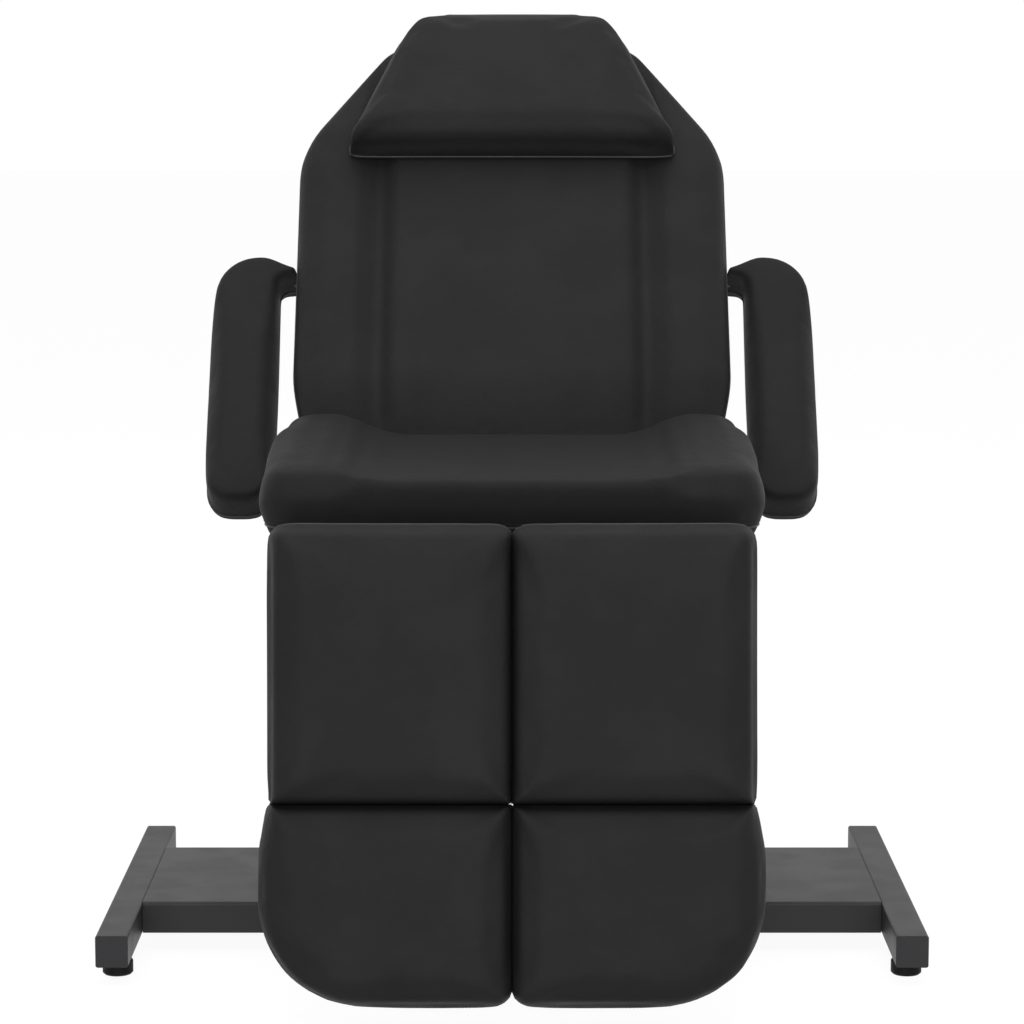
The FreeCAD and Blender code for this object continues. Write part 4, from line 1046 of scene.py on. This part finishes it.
@dataclass
class ArmSection(Section):
    """One armrest's pad, along the side of the back. Lengths are metres."""

    side: Side
    back: BackSection
    fill: float = 0.75
    welt_share: float = 0.2
    neck_reach: float = 0.05
    neck_width: float = 0.044
    neck_lift: float = 0.008
    neck_drop: float = 0.018
    squareness: float = 1.45

    def pads(self, chair: Chair) -> list[Pad]:
        """The armrest's one pad."""
        node, body = f"arm_pad_{self.side.word}", f"arm_{self.side.word}"
        place = self.back.frame(chair)
        welts = (self.welt_share,)
        return [Pad(node, body, self.fill, FINE_VOXEL, place, welts, mould=self.mould)]

    def mould(self, point: Vector, limits: Limits) -> Vector:
        """Narrow the neck towards the back and draw the face flatter.

        Args:
            point: a point of the cover.
            limits: the solid's limits on each axis.

        Returns:
            The moved point.
        """
        inner = min(abs(edge) for edge in limits[0])
        top = limits[1][1]
        low, high = limits[2]
        neck = 1 - eased(abs(point.x), inner, inner + self.neck_reach)
        upper = eased(point.y, top - self.neck_width, top)
        near = eased(point.y, top - 2 * self.neck_width, top - self.neck_width)
        along = neck * near * (self.neck_lift - (self.neck_lift + self.neck_drop) * upper)
        depth = max(high - point.z, 0.0) / (high - low)
        return Vector((point.x, point.y + along, high - (high - low) * depth**self.squareness))


@dataclass
class LegSection(Section):
    """One leg rest's pad and the foot rest's pad below it.

    Lengths are metres. The pads grow a little towards each other and towards the other leg's.
    """

    side: Side
    angle: float = math.radians(82.0)
    welt_share: float = 0.14
    centre_grow: float = 0.0007
    crease_grow: float = 0.0014

    def frame(self, chair: Chair) -> Matrix:
        """Frame of the leg rest: -y down along the leg and z out of its face."""
        place = chair.joint_place("leg_raise_" + self.side.word)
        return Matrix.Translation(place) @ Matrix.Rotation(self.angle, 4, "X")

    def pads(self, chair: Chair) -> list[Pad]:
        """The leg's pad and the foot's.

        Args:
            chair: the frame and its finishes.

        Returns:
            The two pads.
        """
        place = self.frame(chair)
        word = self.side.word
        still = (0.0, 0.0)
        inner = (0.0, self.centre_grow) if self.side is Side.LEFT else (self.centre_grow, 0.0)
        crease = {"leg": (self.crease_grow, 0.0), "foot": (0.0, self.crease_grow)}
        made = []
        for limb, along in crease.items():
            node, body = f"{limb}_pad_{word}", f"{limb}_rest_{word}"
            grow = (inner, along, still)
            made.append(Pad(node, body, FIRM_FILL, BROAD_VOXEL, place, (self.welt_share,), grow=grow))
        return made


@dataclass
class Upholstery:
    """Every padded section of the chair, in the order in which they are made."""

    seat: SeatSection = field(default_factory=SeatSection)
    back: BackSection = field(default_factory=BackSection)

    def sections(self) -> list[Section]:
        """The seat and the back, then the arm and the leg of each side."""
        made: list[Section] = [self.seat, self.back]
        for side in Side:
            made += [ArmSection(side, self.back), LegSection(side)]
        return made

    def build(self, chair: Chair) -> None:
        """Make the pads of every section."""
        for section in self.sections():
            section.build(chair)


@dataclass(frozen=True)
class Softbox:
    """A square lamp: its place, the point that it faces, its side in metres and its power in watts."""

    name: str
    place: Place
    aim: Place
    size: float
    power: float

    def build(self, side: Side | None = None) -> None:
        """Hang the lamp.

        Args:
            side: the side of a lamp that hangs on both.
        """
        name, place, aim = self.name, Vector(self.place), Vector(self.aim)
        if side is not None:
            name = f"{name}_{side.word}"
            place.x *= side.value
        data = bpy.data.lights.new(name, "AREA")
        data.size = self.size
        data.energy = self.power
        lamp = bpy.data.objects.new(name, data)
        lamp.location = place
        lamp.rotation_euler = (aim - place).to_track_quat("-Z", "Y").to_euler()
        bpy.context.scene.collection.objects.link(lamp)


@dataclass
class Studio:
    """Pale floor, soft light and the camera.

    Lengths are metres, but the lens and the sensor are given in millimetres.
    """

    floor_size: float = 60.0
    floor_colour: float = 0.85
    floor_bounce: float = 0.5
    floor_white: float = 0.88
    floor_glow: float = 1.06
    ambient: float = 0.5
    top: Softbox = Softbox("top_softbox", (0.0, -0.6, 3.8), (0.0, 0.0, 0.6), 3.2, 76.0)
    front: Softbox = Softbox("front_softbox", (0.9, -4.9, 1.1), (0.0, 0.0, 0.6), 2.4, 70.0)
    rear: Softbox = Softbox("rear_softbox", (4.2, 2.6, 3.0), (0.0, 0.0, 0.5), 2.0, 26.0)
    lens: float = 119.2
    sensor: float = 36.0
    camera_place: Place = (0.0, -4.421, 1.129)
    camera_pitch: float = math.radians(7.64)

    def build(self) -> None:
        """Make the floor, the world, the lamps and the camera."""
        self._floor()
        self._world()
        self.top.build()
        for side in Side:
            self.front.build(side)
            self.rear.build(side)
        self._camera()

    @staticmethod
    def _seen(build: NodeBuilder) -> Socket:
        """1 for camera, glossy and transmission rays, 0 for the light that falls on the chair."""
        path = build.add("ShaderNodeLightPath")
        total = path.outputs["Is Camera Ray"]
        for name in ("Is Glossy Ray", "Is Transmission Ray"):
            either = build.add("ShaderNodeMath", operation="MAXIMUM")
            build.link(total, either.inputs[0])
            build.link(path.outputs[name], either.inputs[1])
            total = either.outputs[0]
        return total

    def _floor(self) -> None:
        """A wide plane, white to the eye, that keeps a faint shadow."""
        shape = bmesh.new()
        bmesh.ops.create_grid(shape, x_segments=1, y_segments=1, size=self.floor_size / 2)
        mesh = bpy.data.meshes.new("studio_floor")
        shape.to_mesh(mesh)
        shape.free()
        mesh.materials.append(self._floor_material())
        floor = bpy.data.objects.new("studio_floor", mesh)
        bpy.context.scene.collection.objects.link(floor)

    def _floor_material(self) -> bpy.types.Material:
        """A matte white that glows to the eye and throws less light on the chair."""
        material = bpy.data.materials.new("studio_floor")
        material.use_nodes = True
        build = NodeBuilder(material.node_tree)
        seen = self._seen(build)
        matte = build.add("ShaderNodeBsdfDiffuse")
        colour = build.blend(seen, (self.floor_bounce,) * 3, (self.floor_colour,) * 3)
        build.link(colour, matte.inputs["Color"])
        glow = build.add("ShaderNodeEmission", {"Color": (1, 1, 1, 1), "Strength": self.floor_glow})
        mix = build.add("ShaderNodeMixShader")
        build.link(build.ramp(seen, 0.0, 1.0, 0.0, self.floor_white), mix.inputs[0])
        build.link(matte.outputs[0], mix.inputs[1])
        build.link(glow.outputs[0], mix.inputs[2])
        target = build.add("ShaderNodeOutputMaterial")
        build.link(mix.outputs[0], target.inputs["Surface"])
        return material

    def _world(self) -> None:
        """White to the eye, dimmer as light."""
        world = bpy.data.worlds.new("studio")
        bpy.context.scene.world = world
        world.use_nodes = True
        build = NodeBuilder(world.node_tree)
        light = build.add("ShaderNodeBackground", {"Color": (1, 1, 1, 1), "Strength": self.ambient})
        white = build.add("ShaderNodeBackground", {"Color": (1, 1, 1, 1), "Strength": 1.0})
        mix = build.add("ShaderNodeMixShader")
        build.link(self._seen(build), mix.inputs[0])
        build.link(light.outputs[0], mix.inputs[1])
        build.link(white.outputs[0], mix.inputs[2])
        target = build.add("ShaderNodeOutputWorld")
        build.link(mix.outputs[0], target.inputs["Surface"])

    def _camera(self) -> None:
        """The photograph's viewpoint."""
        data = bpy.data.cameras.new("camera")
        data.lens = self.lens
        data.sensor_width = self.sensor
        camera = bpy.data.objects.new("camera", data)
        camera.location = self.camera_place
        camera.rotation_euler = (math.pi / 2 - self.camera_pitch, 0.0, 0.0)
        bpy.context.scene.collection.objects.link(camera)
        bpy.context.scene.camera = camera


def main() -> None:
    """Dress the chair and set it in the studio."""
    logging.basicConfig(level=logging.INFO, format="%(name)s: %(message)s")
    chair = Chair(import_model())
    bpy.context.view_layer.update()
    bpy.context.scene.view_settings.view_transform = "Standard"
    chair.make_finishes()
    chair.dress_nodes()
    Upholstery().build(chair)
    Studio().build()


if __name__ == "__main__":
    main()
